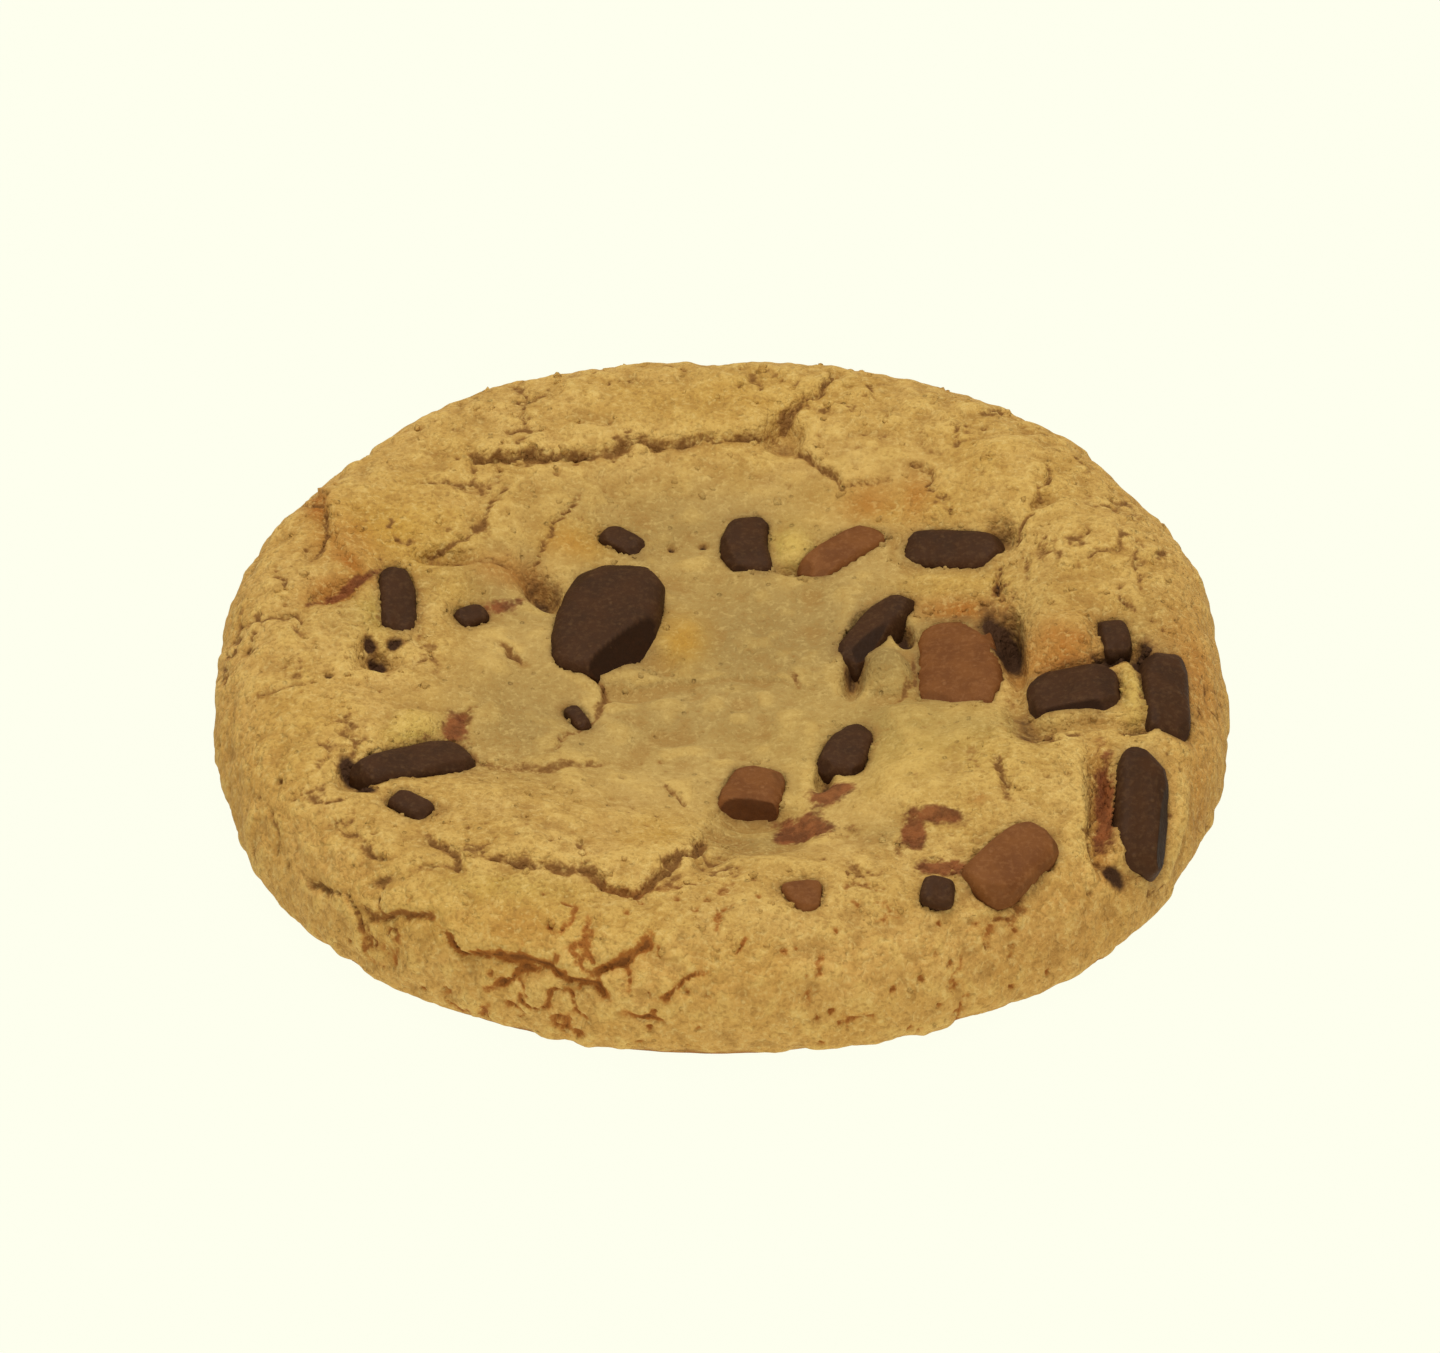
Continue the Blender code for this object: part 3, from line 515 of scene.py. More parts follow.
# Dark holes, and painted shade in crevices and hollows beside chunks; the dough is lowered under both
HOLES_AND_PAINTED_SHADE = (
    ((-31.3, 0.3), (0.6, 0.6), 0.0, 1.0),
    ((-28.9, 0.7), (0.7, 0.6), 30.0, 1.0),
    ((-30.2, -1.1), (1.0, 0.7), -20.0, 1.0),
    ((-15.9, 10.8), (1.4, 2.6), 25.0, 0.62),
    ((24.4, 16.2), (1.6, 1.6), -20.0, 0.47),
    ((5.4, 29.6), (1.2, 1.8), 20.0, 0.42),
    ((-24.2, 13.2), (2.0, 0.7), 10.0, 0.44),
    ((26.4, -11.2), (1.2, 3.0), 10.0, 0.55),
    ((6.4, 14.4), (1.0, 0.5), 0.0, 0.5),
    ((38.0, -1.4), (0.9, 1.6), 10.0, 0.8),
    ((-31.6, -17.6), (0.8, 1.6), 20.0, 1.0),
    ((-30.0, -20.2), (1.0, 0.6), -30.0, 1.0),
    ((9.2, -16.0), (0.5, 1.4), -10.0, 0.7),
    ((24.7, 3.0), (1.5, 3.6), 20.0, 1.0),
    ((24.1, 9.4), (0.22, 1.5), 0.0, 0.8),
    ((23.9, 16.9), (1.2, 0.5), -20.0, 0.5),
    ((37.4, -3.2), (0.8, 2.6), 8.0, 0.8),
    ((36.2, -12.4), (1.2, 0.7), 10.0, 0.8),
    ((35.0, -2.4), (2.0, 0.9), 20.0, 1.0),
    ((16.4, 4.6), (0.7, 1.7), 10.0, 0.9),
    ((11.6, -0.4), (0.6, 1.5), -10.0, 0.8),
    ((-4.4, 17.4), (0.35, 0.3), 0.0, 0.9),
    ((-1.6, 17.7), (0.35, 0.35), 0.0, 0.9),
    ((-8.7, -16.7), (0.2, 0.2), 0.0, 0.9),
    ((-34.6, -5.2), (0.35, 0.35), 0.0, 0.9),
    ((35.0, -29.2), (1.5, 0.8), -20.0, 0.9),
)
# A duller grey-brown tone, partly the dough's own and partly painted shade in hollows and basins
DULL_AND_SHADED_PATCHES = (
    ((4.0, 4.0), (15.0, 9.0), 10.0, 1.0),
    ((-4.0, 20.0), (12.0, 5.0), 5.0, 0.8),
    ((-18.0, -9.0), (6.0, 7.0), 0.0, 0.9),
    ((-2.0, -7.0), (12.0, 5.0), 0.0, 0.7),
    ((3.2, -25.0), (4.2, 4.0), 0.0, 1.0),
    ((14.4, -0.8), (2.6, 3.8), 20.0, 1.6),
    ((-20.0, 11.0), (6.0, 5.0), 0.0, 1.0),
    ((22.0, 7.0), (6.0, 5.0), 0.0, 0.6),
    ((27.0, 3.0), (2.6, 5.0), 0.0, 0.6),
    ((-31.5, 5.0), (3.5, 4.5), 0.0, 0.7),
    ((15.0, -8.0), (5.0, 4.0), 0.0, 0.9),
    ((24.0, -11.0), (5.0, 3.0), 10.0, 0.8),
    ((14.0, -26.0), (3.0, 2.0), 0.0, 0.7),
    ((38.0, -1.0), (3.0, 6.0), 0.0, 0.7),
)


def smoothstep(value):
    """Ease from 0 to 1 while the value goes from 0 to 1."""
    value = np.clip(value, 0.0, 1.0)
    return value * value * (3.0 - 2.0 * value)


def section(samples=400):
    """Half section of the smooth body, as arc length, radius and height.

    From the middle outwards it climbs in a soft step from the plate to the
    rim's crest, turns down over the shoulder as a quarter of a superellipse
    and tucks under the waist as a quarter circle.
    """
    quarter = np.linspace(0.0, np.pi / 2, samples)[1:]
    power = 2.0 / SHOULDER_SQUARENESS
    top_radius = np.linspace(0.0, RADIUS - SHOULDER, samples)
    climb = smoothstep((top_radius - PLATE_RADIUS) / (RIM_CREST_RADIUS - PLATE_RADIUS))
    top_height = CENTRE_HEIGHT + (RIM_HEIGHT - CENTRE_HEIGHT) * climb
    side_radius = RADIUS - SHOULDER + SHOULDER * np.sin(quarter) ** power
    side_height = WAIST_HEIGHT + (RIM_HEIGHT - WAIST_HEIGHT) * np.cos(quarter) ** power
    foot_radius = RADIUS - FOOT + FOOT * np.cos(quarter)
    foot_height = WAIST_HEIGHT * (1.0 - np.sin(quarter))
    radius = np.concatenate([top_radius, side_radius, foot_radius])
    height = np.concatenate([top_height, side_height, foot_height])
    steps = np.hypot(np.diff(radius), np.diff(height))
    return np.concatenate([[0.0], np.cumsum(steps)]), radius, height


ARC, ARC_RADIUS, ARC_HEIGHT = section()


def outline_growth(angle):
    """How far the outline stands out from a circle: a four-fold wave and single bell lobes."""
    growth = SQUARE_LOBE * (1.0 - np.cos(4.0 * angle))
    for direction, width, height in LOBES:
        turn = (np.degrees(angle) - direction + 180.0) % 360.0 - 180.0
        growth = growth + height * np.exp(-((turn / width) ** 2))
    return growth


def smooth_body(chart_x, chart_y):
    """Points and outward normals of the smooth body at chart places.

    The distance from the chart's middle is the arc length along the section,
    and the direction is the direction in plan.
    """
    arc = np.hypot(chart_x, chart_y)
    angle = np.arctan2(chart_y, chart_x)
    radius = np.interp(arc, ARC, ARC_RADIUS)
    height = np.interp(arc, ARC, ARC_HEIGHT)
    ahead = np.minimum(arc + SLOPE_STEP, ARC[-1])
    behind = np.maximum(arc - SLOPE_STEP, 0.0)
    run = np.interp(ahead, ARC, ARC_RADIUS) - np.interp(behind, ARC, ARC_RADIUS)
    rise = np.interp(ahead, ARC, ARC_HEIGHT) - np.interp(behind, ARC, ARC_HEIGHT)
    slope = np.hypot(run, rise)
    reach = smoothstep((radius - PLATE_RADIUS) / (RIM_CREST_RADIUS - PLATE_RADIUS))
    height = height * (1.0 + RIM_TILT * np.sin(angle) * radius / RADIUS)
    radius = radius + outline_growth(angle) * reach
    points = np.stack([radius * np.cos(angle) - BOX_MIDDLE[0],
                       radius * np.sin(angle) - BOX_MIDDLE[1], height], axis=-1)
    normals = np.stack([-rise / slope * np.cos(angle),
                        -rise / slope * np.sin(angle), run / slope], axis=-1)
    return points, normals


class Grain:
    """Smooth random numbers in space, eased between the corners of a lattice."""

    def __init__(self, seed, cells=32):
        self.cells = cells
        self.lattice = np.random.default_rng(seed).uniform(-1.0, 1.0, (cells, cells, cells))

    def __call__(self, points, size):
        place = points / size + LATTICE_SHIFT
        corner = np.floor(place).astype(int)
        part = smoothstep(place - corner)
        total = np.zeros(points.shape[:-1])
        for step in np.ndindex(2, 2, 2):
            index = (corner + np.array(step)) % self.cells
            weight = np.prod(np.where(np.array(step) == 1, part, 1.0 - part), axis=-1)
            total = total + weight * self.lattice[index[..., 0], index[..., 1], index[..., 2]]
        return total


class Scatter:
    """Points scattered through space, one in each cell of a lattice, each with a random draw."""

    def __init__(self, seed, cells=32):
        chance = np.random.default_rng(seed)
        self.cells = cells
        self.place = chance.uniform(0.1, 0.9, (cells, cells, cells, 3))
        self.draw = chance.uniform(0.0, 1.0, (cells, cells, cells))

    def __call__(self, points, size):
        """Distance to the nearest scattered point, in cells, and that point's draw."""
        spot = points / size + LATTICE_SHIFT
        corner = np.floor(spot).astype(int)
        nearest = np.full(points.shape[:-1], 9.0)
        draw = np.zeros(points.shape[:-1])
        for step in np.ndindex(3, 3, 3):
            cell = corner + np.array(step) - 1
            index = tuple(np.moveaxis(cell % self.cells, -1, 0))
            away = np.linalg.norm(cell + self.place[index] - spot, axis=-1)
            closer = away < nearest
            draw = np.where(closer, self.draw[index], draw)
            nearest = np.where(closer, away, nearest)
        return nearest, draw


CRUMB_SEED = 71
LUMP_GRAIN = Grain(11)
WANDER_GRAIN = Grain(23)
CHUNK_GRAIN = Grain(37)
FINE_GRAIN = Grain(41)
CRUMB_SCATTER = Scatter(53)


def bell(chart_x, chart_y, place, halves, turn, height, flatness=2):
    """A mound, hollow or patch: its strength fades with the distance from its middle."""
    turn = np.radians(turn)
    away_x = chart_x - place[0]
    away_y = chart_y - place[1]
    along = (away_x * np.cos(turn) + away_y * np.sin(turn)) / halves[0]
    across = (away_y * np.cos(turn) - away_x * np.sin(turn)) / halves[1]
    return height * np.exp(-MOUND_EDGE * np.hypot(along, across) ** flatness)


def crack(chart_x, chart_y, uneven, width, depth, bank, route):
    """A crack along a route: its height, a sharp groove with one bank higher, and its nearness.

    The unevenness stretches the distance from the route, so the groove widens
    and narrows at random.
    """
    nearest = np.full(chart_x.shape, 1e9)
    side = np.zeros(chart_x.shape)
    fade = np.zeros(chart_x.shape)
    route = np.array(route)
    lengths = np.hypot(*np.diff(route, axis=0).T)
    starts = np.concatenate([[0.0], np.cumsum(lengths)])
    for start, end, length, passed in zip(route[:-1], route[1:], lengths, starts):
        run = (end - start) / length
        along = np.clip((chart_x - start[0]) * run[0] + (chart_y - start[1]) * run[1], 0.0, length)
        away_x = chart_x - start[0] - along * run[0]
        away_y = chart_y - start[1] - along * run[1]
        distance = np.hypot(away_x, away_y)
        closer = distance < nearest
        nearest = np.where(closer, distance, nearest)
        side = np.where(closer, run[0] * away_y - run[1] * away_x, side)
        from_end = np.minimum(passed + along, starts[-1] - passed - along)
        fade = np.where(closer, smoothstep(CRACK_END + from_end / CRACK_TAPER), fade)
    groove = np.clip(1.0 - nearest * uneven / width, 0.0, 1.0)
    step = 0.5 * bank * np.tanh(side / (0.5 * width)) * np.exp(-nearest / BANK_REACH)
    return (step - depth * groove) * fade, np.minimum(CRACK_COLOUR_WIDTH * groove, 1.0) * fade


def patches(chart_x, chart_y, places):
    """The strongest of several soft patches at each chart place."""
    return np.max([bell(chart_x, chart_y, *place) for place in places], axis=0)


def disc_rings(counts, first=0):
    """Triangles between neighbouring rings of points, each with its own count.

    A ring of n points and the next one of m share the circle evenly: each edge
    of one ring is joined to the nearest point of the other, in order.
    """
    triangles = []
    for count, following in zip(counts[:-1], counts[1:]):
        second = first + count
        edge = np.arange(count)
        apex = np.floor((edge + 0.5) * following / count + 0.5).astype(int) % following
        triangles.append(np.stack([first + (edge + 1) % count, first + edge, second + apex], axis=1))
        if following > 1:
            edge = np.arange(following)
            apex = np.ceil((edge + 0.5) * count / following - 0.5).astype(int) % count
            triangles.append(np.stack([second + edge, second + (edge + 1) % following, first + apex],
                                      axis=1))
        first = second
    return np.concatenate(triangles)


def ring_chart(counts, radii):
    """Chart points of rings with the given point counts and radii."""
    rings = []
    for count, radius in zip(counts, radii):
        angle = np.arange(count) * (2.0 * np.pi / count)
        rings.append(np.stack([np.cos(angle), np.sin(angle)], axis=1) * radius)
    return np.concatenate(rings)


def lump(cells):
    """A unit cube's grid of points, its corners rounded off, and its quads."""
    line = np.linspace(-1.0, 1.0, cells + 1)
    first, second = np.meshgrid(line, line, indexing="ij")
    ones = np.ones_like(first)
    sheets = []
    for axis in range(3):
        for sign in (1.0, -1.0):
            sheet = [None, None, None]
            sheet[axis] = sign * ones
            sheet[(axis + 1) % 3] = first * sign
            sheet[(axis + 2) % 3] = second
            sheets.append(np.stack(sheet, axis=-1).reshape(-1, 3))
    corner = np.arange(cells)
    row, column = np.meshgrid(corner, corner, indexing="ij")
    base = (row * (cells + 1) + column).ravel()
    quad = np.stack([base, base + cells + 1, base + cells + 2, base + 1], axis=1)
    quads = np.concatenate([quad + number * (cells + 1) ** 2 for number in range(6)])
    points, index = np.unique(np.round(np.concatenate(sheets), 6), axis=0, return_inverse=True)
    quads = index.reshape(-1)[quads]
    size = np.abs(points)
    plan = rounded(size[:, 0], size[:, 1], CHUNK_SQUARENESS)
    return points / rounded(plan, size[:, 2], CHUNK_TOP_SQUARENESS)[:, None], quads


def rounded(first, second, squareness):
    """Distance in a plane whose unit circle is a square with rounded corners."""
    return (np.abs(first) ** squareness + np.abs(second) ** squareness) ** (1.0 / squareness)


def chunk_frame(chunk):
    """Where a chunk stands: its middle and its three axes."""
    point, normal = smooth_body(np.array(chunk.at[0]), np.array(chunk.at[1]))
    angle = np.arctan2(chunk.at[1], chunk.at[0])
    around = np.array([-np.sin(angle), np.cos(angle), 0.0])
    outward = np.cross(around, normal)
    chart_x = outward * np.cos(angle) - around * np.sin(angle)
    chart_y = outward * np.sin(angle) + around * np.cos(angle)
    axes = Matrix(np.stack([chart_x, chart_y, normal], axis=1).tolist())
    turned = Matrix.Rotation(np.radians(chunk.turn), 3, "Z")
    pitched = Matrix.Rotation(np.radians(-chunk.pitch), 3, "Y")
    rolled = Matrix.Rotation(np.radians(chunk.roll), 3, "X")
    axes = np.array(axes @ turned @ pitched @ rolled)
    return point + axes[:, 2] * chunk.lift, axes


def chunk_distance(chunk, breaks, points):
    """How far outside a chunk's sides each point lies, in millimetres, less than 0 inside.

    The outline in plan and the planes of the breaks each give a distance, and
    the largest counts. Points far above or below the chunk count as elsewhere.
    """
    middle, axes = chunk_frame(chunk)
    local = (points - middle) @ axes
    along = local[..., 0] / chunk.halves[0]
    inner = np.clip(along, -1.0, 1.0)
    sideways = local[..., 1] - chunk.bend * (CHUNK_BEND_MIDDLE - inner ** 2)
    across = sideways / (chunk.halves[1] * (1.0 + chunk.taper * inner))
    distance = (rounded(along, across, CHUNK_SQUARENESS) - CHUNK_GROWTH) * min(chunk.halves[:2])
    for facing, limit, _ in breaks:
        distance = np.maximum(distance, local @ facing - limit)
    away = np.abs(local[..., 2]) > 2.0 * max(chunk.halves)
    return np.where(away, ELSEWHERE, distance)


def new_piece(name, vertices, faces, finish, attributes):
    """A piece that rides on the cookie, from points in millimetres, with its point attributes."""
    mesh = bpy.data.meshes.new(name)
    mesh.from_pydata((vertices * MILLIMETRE).tolist(), [], faces)
    for label, values in attributes.items():
        layer = mesh.attributes.new(label, "FLOAT", "POINT")
        layer.data.foreach_set("value", np.asarray(values, dtype=np.float32))
    mesh.materials.append(finish)
    mesh.shade_smooth()
    piece = bpy.data.objects.new(name, mesh)
    bpy.context.scene.collection.objects.link(piece)
    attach(piece, "root")
    return piece


def neighbour_mean(values, triangles, rounds):
    """Values averaged over the neighbouring points of a mesh, so many times over."""
    ends = np.concatenate([triangles[:, [0, 1]], triangles[:, [1, 2]], triangles[:, [2, 0]]])
    ends = np.concatenate([ends, ends[:, ::-1]])
    counts = np.bincount(ends[:, 0], minlength=len(values))
    for _ in range(rounds):
        values = np.bincount(ends[:, 0], weights=values[ends[:, 1]], minlength=len(values)) / counts
    return values


def crust_relief(points, crust, toast, height, groove):
    """Adds bumps, splits and pits to the dough, as strong as the crust is crumbly.

    Bumps are low domes round scattered points, splits follow the level lines
    of a grain here and there, and pits sink round a few scattered points, more
    of them where the crust is toasted.
    """
    for size, tall in BUMPS:
        near, draw = CRUMB_SCATTER(points, size)
        height = height + tall * crust * (0.5 + draw) * (BUMP_REACH - near)
    size, split_depth, sharpness = SPLITS
    detail = SPLIT_DETAIL * FINE_GRAIN(points, SPLIT_DETAIL * size)
    level = FINE_GRAIN(points + ELSEWHERE, size) + detail
    patchy = smoothstep(3.0 * WANDER_GRAIN(points - ELSEWHERE, SPLIT_PATCHES) - 0.5)
    split = np.exp(-np.abs(level) / sharpness) * patchy * crust
    size, reach, pit_depth, rarity = PITS
    near, draw = CRUMB_SCATTER(points - ELSEWHERE, size)
    pit = smoothstep((reach - near) / (PIT_SOFTNESS * reach)) * (draw > rarity - PITS_MORE * toast)
    pit = pit * (PIT_LEAST + (1.0 - PIT_LEAST) * crust)
    height = height - split_depth * split - pit_depth * pit
    return height, np.max([groove, SPLIT_BROWNING * split, PIT_BROWNING * pit], axis=0)


def dough_relief(chart_x, chart_y, shapes):
    """The dough at chart places: points and normals of the smooth body, heights and attributes.

    The height over the smooth body is the sum of lumps, mounds, cracks, crust
    and holes. It drops under every chunk, and the open height is without these
    drops.
    """
    points, normals = smooth_body(chart_x, chart_y)
    arc = np.hypot(chart_x, chart_y)
    rim = smoothstep((arc - RIM_START) / RIM_BLEND)
    height = np.zeros(len(arc))
    for size, tall in LUMPS:
        height += tall * LUMP_GRAIN(points, size)
    crumble_size, crumble_depth = RIM_CRUMBLE
    height -= rim * crumble_depth * np.abs(LUMP_GRAIN(points + ELSEWHERE, crumble_size))
    for feature in MOUNDS + SMALL_HOLLOWS:
        height += bell(chart_x, chart_y, *feature)
    wander_x = chart_x + CRACK_WANDER * WANDER_GRAIN(points, CRACK_WANDER_SIZE)
    wander_y = chart_y + CRACK_WANDER * WANDER_GRAIN(points + ELSEWHERE, CRACK_WANDER_SIZE)
    for size, reach in RAGGED:
        wander_x += reach * FINE_GRAIN(points, size)
        wander_y += reach * FINE_GRAIN(points + ELSEWHERE, size)
    uneven = 1.0 + CRACK_UNEVENNESS * FINE_GRAIN(points - ELSEWHERE, CRACK_UNEVEN_SIZE)
    broken_up = smoothstep(0.75 + 1.5 * WANDER_GRAIN(points - ELSEWHERE, CRACK_STRETCH))
    toast = smoothstep((-chart_y - TOAST_START) / TOAST_BLEND)
    toast *= smoothstep((arc - TOAST_RADIUS) / TOAST_RADIUS_BLEND)
    broken_up = np.maximum(CRACK_LEAST + (1.0 - CRACK_LEAST) * broken_up, toast)
    groove = np.zeros(len(arc))
    share = CRACK_WIDTH_SHARE + TOASTED_WIDENING * toast
    for width, depth, bank, route in CRACKS:
        rise, near = crack(wander_x, wander_y, uneven, width * share,
                           depth * CRACK_DEPTH_SHARE, bank, route)
        height += rise * broken_up
        groove = np.maximum(groove, near * broken_up)
    for feature in FINE_CRACKS:
        rise, near = crack(wander_x, wander_y, uneven, *feature)
        height += rise
        groove = np.maximum(groove, near * smoothstep((feature[1] - FOLD_DEPTH) / FOLD_DEPTH))
    edge_size, edge_reach = CRUST_WANDER
    crust = smoothstep((arc - CRUST_START + edge_reach * LUMP_GRAIN(points, edge_size)) / CRUST_BLEND)
    crust = CRUST_LEAST + (1.0 - CRUST_LEAST) * crust
    height, groove = crust_relief(points, crust, toast, height, groove)
    for size, tall in FINE_LUMPS:
        height += tall * (FINE_LUMPS_LEAST + crust) * FINE_GRAIN(points, size)
    for size, tall in MIDDLE_LUMPS:
        height += tall * (MIDDLE_LUMPS_MOST - crust) * FINE_GRAIN(points - ELSEWHERE, size)
    pale = patches(chart_x, chart_y, PALE_PATCHES)
    # Dark holes and painted shade in crevices and hollows, where the dough also drops
    dark = patches(chart_x, chart_y, HOLES_AND_PAINTED_SHADE)
    height += PALE_RISE * pale ** 2 - DARK_DROP * dark
    cover = patches(chart_x, chart_y, COVERS)
    height, open_height, melt_and_shade = beside_chunks(points, normals, height, cover, shapes)
    attributes = {
        "groove": groove,
        "crust": crust,
        "melt_and_shade": melt_and_shade,
        "toast": toast,
        "gold": patches(chart_x, chart_y, GOLD_PATCHES),
        "orange": patches(chart_x, chart_y, ORANGE_PATCHES),
        "pale": pale,
        "stain": patches(chart_x, chart_y, STAINS),
        "dull_and_shade": patches(chart_x, chart_y, DULL_AND_SHADED_PATCHES),
        "dark": dark,
        "side": smoothstep((arc - SIDE_START) / SIDE_BLEND),
        "middle": smoothstep((MIDDLE_END - arc) / MIDDLE_BLEND),
    }
    return points, normals, height, open_height, attributes


def beside_chunks(points, normals, height, cover, shapes):
    """The dough eased down to the chunks' tops, with lips along their sides and drops under them.

    Gives its height, its open height, and how near chocolate is. The easing
    fades with the distance from a chunk's outline. A lip stands where the side
    is close and an uneven grain allows it, and the drop starts an inset inside
    the chunk's side. Dough that covers a chunk neither settles nor drops.
    """
    settled = height
    for chunk in CHUNKS.values():
        outside = np.maximum(chunk_distance(chunk, (), points + normals * height[:, None]), 0.0)
        level = chunk.lift + chunk.halves[2] - SETTLE_DROP
        ease = np.exp(-outside / SETTLE_REACH) * (1.0 - cover)
        settled = np.minimum(settled, height + np.minimum(level - height, 0.0) * ease)
    surface = points + normals * settled[:, None]
    uneven = smoothstep(0.5 + WANDER_GRAIN(points + ELSEWHERE, TUCK_PATCHES))
    ragged_size, ragged_reach = TUCK_RAGGED
    ragged = ragged_reach * FINE_GRAIN(points, ragged_size)
    melt_and_shade = np.zeros(len(height))
    drop = np.zeros(len(height))
    lip = np.zeros(len(height))
    for chunk, (_, _, breaks, _) in zip(CHUNKS.values(), shapes):
        distance = chunk_distance(chunk, breaks, surface) + ragged
        outside = np.maximum(distance, 0.0)
        inset = (TUCK_INSET[0] + (TUCK_INSET[1] - TUCK_INSET[0]) * uneven) * min(chunk.halves[:2])
        melt_and_shade = np.maximum(melt_and_shade, np.exp(-outside / STAIN_AND_SHADE_REACH))
        lip = np.maximum(lip, np.exp(-outside / LIP_REACH))
        drop = np.maximum(drop, smoothstep((-inset - distance) / TUCK_RUN))
    open_height = settled + LIP_HEIGHT * lip * (uneven - LIP_GAPS)
    return open_height - TUCK_DEPTH * drop * (1.0 - cover), open_height, melt_and_shade


def dough_surface(shapes):
    """The dough's points, triangles and finish attributes.

    Rings of the chart are bent over the smooth body and moved along its normal
    by the dough's height there.
    """
    top_counts = [1] + [6 * ring for ring in range(1, RINGS + 1)]
    chart = ring_chart(top_counts, np.linspace(0.0, ARC[-1], RINGS + 1))
    triangles = disc_rings(top_counts)
    points, normals, height, open_height, attributes = dough_relief(chart[:, 0], chart[:, 1], shapes)
    # How far the dough lies below its neighbours, for painted shade in hollows and painted light on
    # crests
    cavity_shade_and_crest_light = (neighbour_mean(open_height, triangles, CAVITY_ROUNDS) - open_height) / CAVITY_HEIGHT
    attributes["cavity_shade_and_crest_light"] = np.clip(cavity_shade_and_crest_light, -1.0, 1.0)
    attributes["under"] = np.zeros(len(height))
    vertices = points + normals * height[:, None]
    vertices[:, 2] = np.maximum(vertices[:, 2], 0.0)
    vertices[-top_counts[-1]:, 2] = 0.0
    return within_box(vertices), triangles, attributes


def within_box(vertices):
    """Points held inside the box of the solids."""
    low, high = (np.array(corner) / MILLIMETRE for corner in CAD_BOX)
    return np.clip(vertices, low, high)


def underside(edge_points):
    """The flat baked underside, as rings that shrink from the edge to the middle."""
    rings = []
    total = len(UNDERSIDE_RINGS)
    for number, count in enumerate(UNDERSIDE_RINGS):
        share = 1.0 - (number + 1) / total
        place = np.arange(count) * (len(edge_points) / count)
        low = np.floor(place).astype(int)
        part = (place - low)[:, None]
        following = edge_points[(low + 1) % len(edge_points)]
        ring = edge_points[low % len(edge_points)] * (1.0 - part) + following * part
        rings.append(ring * share)
    points = np.concatenate(rings)
    points[:, 2] = 0.0
    return points


def make_dough(finish, shapes):
    """The dough piece, top, side and underside in one closed surface."""
    vertices, triangles, attributes = dough_surface(shapes)
    last = 6 * RINGS
    below = underside(vertices[-last:])
    start = len(vertices) - last
    lower = disc_rings([last] + list(UNDERSIDE_RINGS), start)
    vertices = np.concatenate([vertices, below])
    faces = np.concatenate([triangles, lower])
    extra = np.zeros(len(below))
    attributes = {label: np.concatenate([values, extra]) for label, values in attributes.items()}
    attributes["under"][start:] = 1.0
    piece = new_piece("baked_dough", vertices, faces.tolist(), finish, attributes)
    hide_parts("dough")


def broken(local, planes):
    """Chips flat breaks off a chunk: points beyond a plane move back onto it and take the fresh
    colour, which on a shaded cut is painted shade.
    """
    fresh_and_shade = np.zeros(len(local))
    for facing, limit, strength in planes:
        beyond = np.maximum(local @ facing - limit, 0.0)
        local = local - beyond[:, None] * facing
        fresh_and_shade = np.maximum(fresh_and_shade, strength * smoothstep(beyond / BREAK_EDGE))
    return local, fresh_and_shade


def break_planes(local, number):
    """Random planes that each cut a little off a chunk, as facing, distance and freshness."""
    chance = np.random.default_rng(number)
    planes = []
    for _ in range(CHUNK_BREAKS):
        turn = chance.uniform(0.0, 2.0 * np.pi)
        rise = np.radians(chance.uniform(*CHUNK_BREAK_RISE))
        facing = np.array([np.cos(turn) * np.cos(rise), np.sin(turn) * np.cos(rise), np.sin(rise)])
        reach = local @ facing
        limit = reach.max() - chance.uniform(*CHUNK_BREAK_DEPTH) * np.ptp(reach)
        planes.append((facing, limit, BREAK_FRESHNESS))
    return planes


def chunk_shape(chunk, number):
    """A chunk in its own frame: a rounded block, tapered, bent, broken and cut.

    Gives its points, its quads, the planes of its breaks, and how strongly each
    point takes the fresh colour, which on a shaded cut is painted shade.
    """
    points, quads = lump(CHUNK_CELLS)
    uneven = CHUNK_GRAIN(points + CHUNK_GRAIN_STEP * number, CHUNK_UNEVEN_SIZE)
    local = points * (1.0 + CHUNK_UNEVENNESS * uneven)[:, None] * np.array(chunk.halves)
    local[:, :2] *= CHUNK_GROWTH
    along = points[:, 0]
    local[:, 1] *= 1.0 + chunk.taper * along
    local[:, 1] += chunk.bend * (CHUNK_BEND_MIDDLE - along ** 2)
    planes = break_planes(local, number)
    # A shaded cut flattens a face, and its full fresh colour paints shade on it
    if chunk.cut:
        direction, distance, lean = chunk.cut
        turned = Matrix.Rotation(np.radians(direction), 3, "Z")
        leaned = Matrix.Rotation(np.radians(-lean), 3, "Y")
        planes.append((np.array(turned @ leaned)[:, 0], distance, 1.0))
    local, fresh_and_shade = broken(local, planes)
    shift = ELSEWHERE + CHUNK_GRAIN_STEP * number
    rough = sum(tall * FINE_GRAIN(local + shift, size) for size, tall in CHUNK_ROUGHNESS)
    local *= (1.0 + rough / np.linalg.norm(local, axis=1))[:, None]
    return local, quads, planes, fresh_and_shade


def make_chunk(name, chunk, shape, finish):
    """One chocolate chunk, set where its solid is."""
    local, quads, _, fresh_and_shade = shape
    middle, axes = chunk_frame(chunk)
    vertices = middle + local @ axes.T
    piece = new_piece(name + "_chocolate", vertices, quads.tolist(), finish, {"fresh_and_shade": fresh_and_shade})
    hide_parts(name)


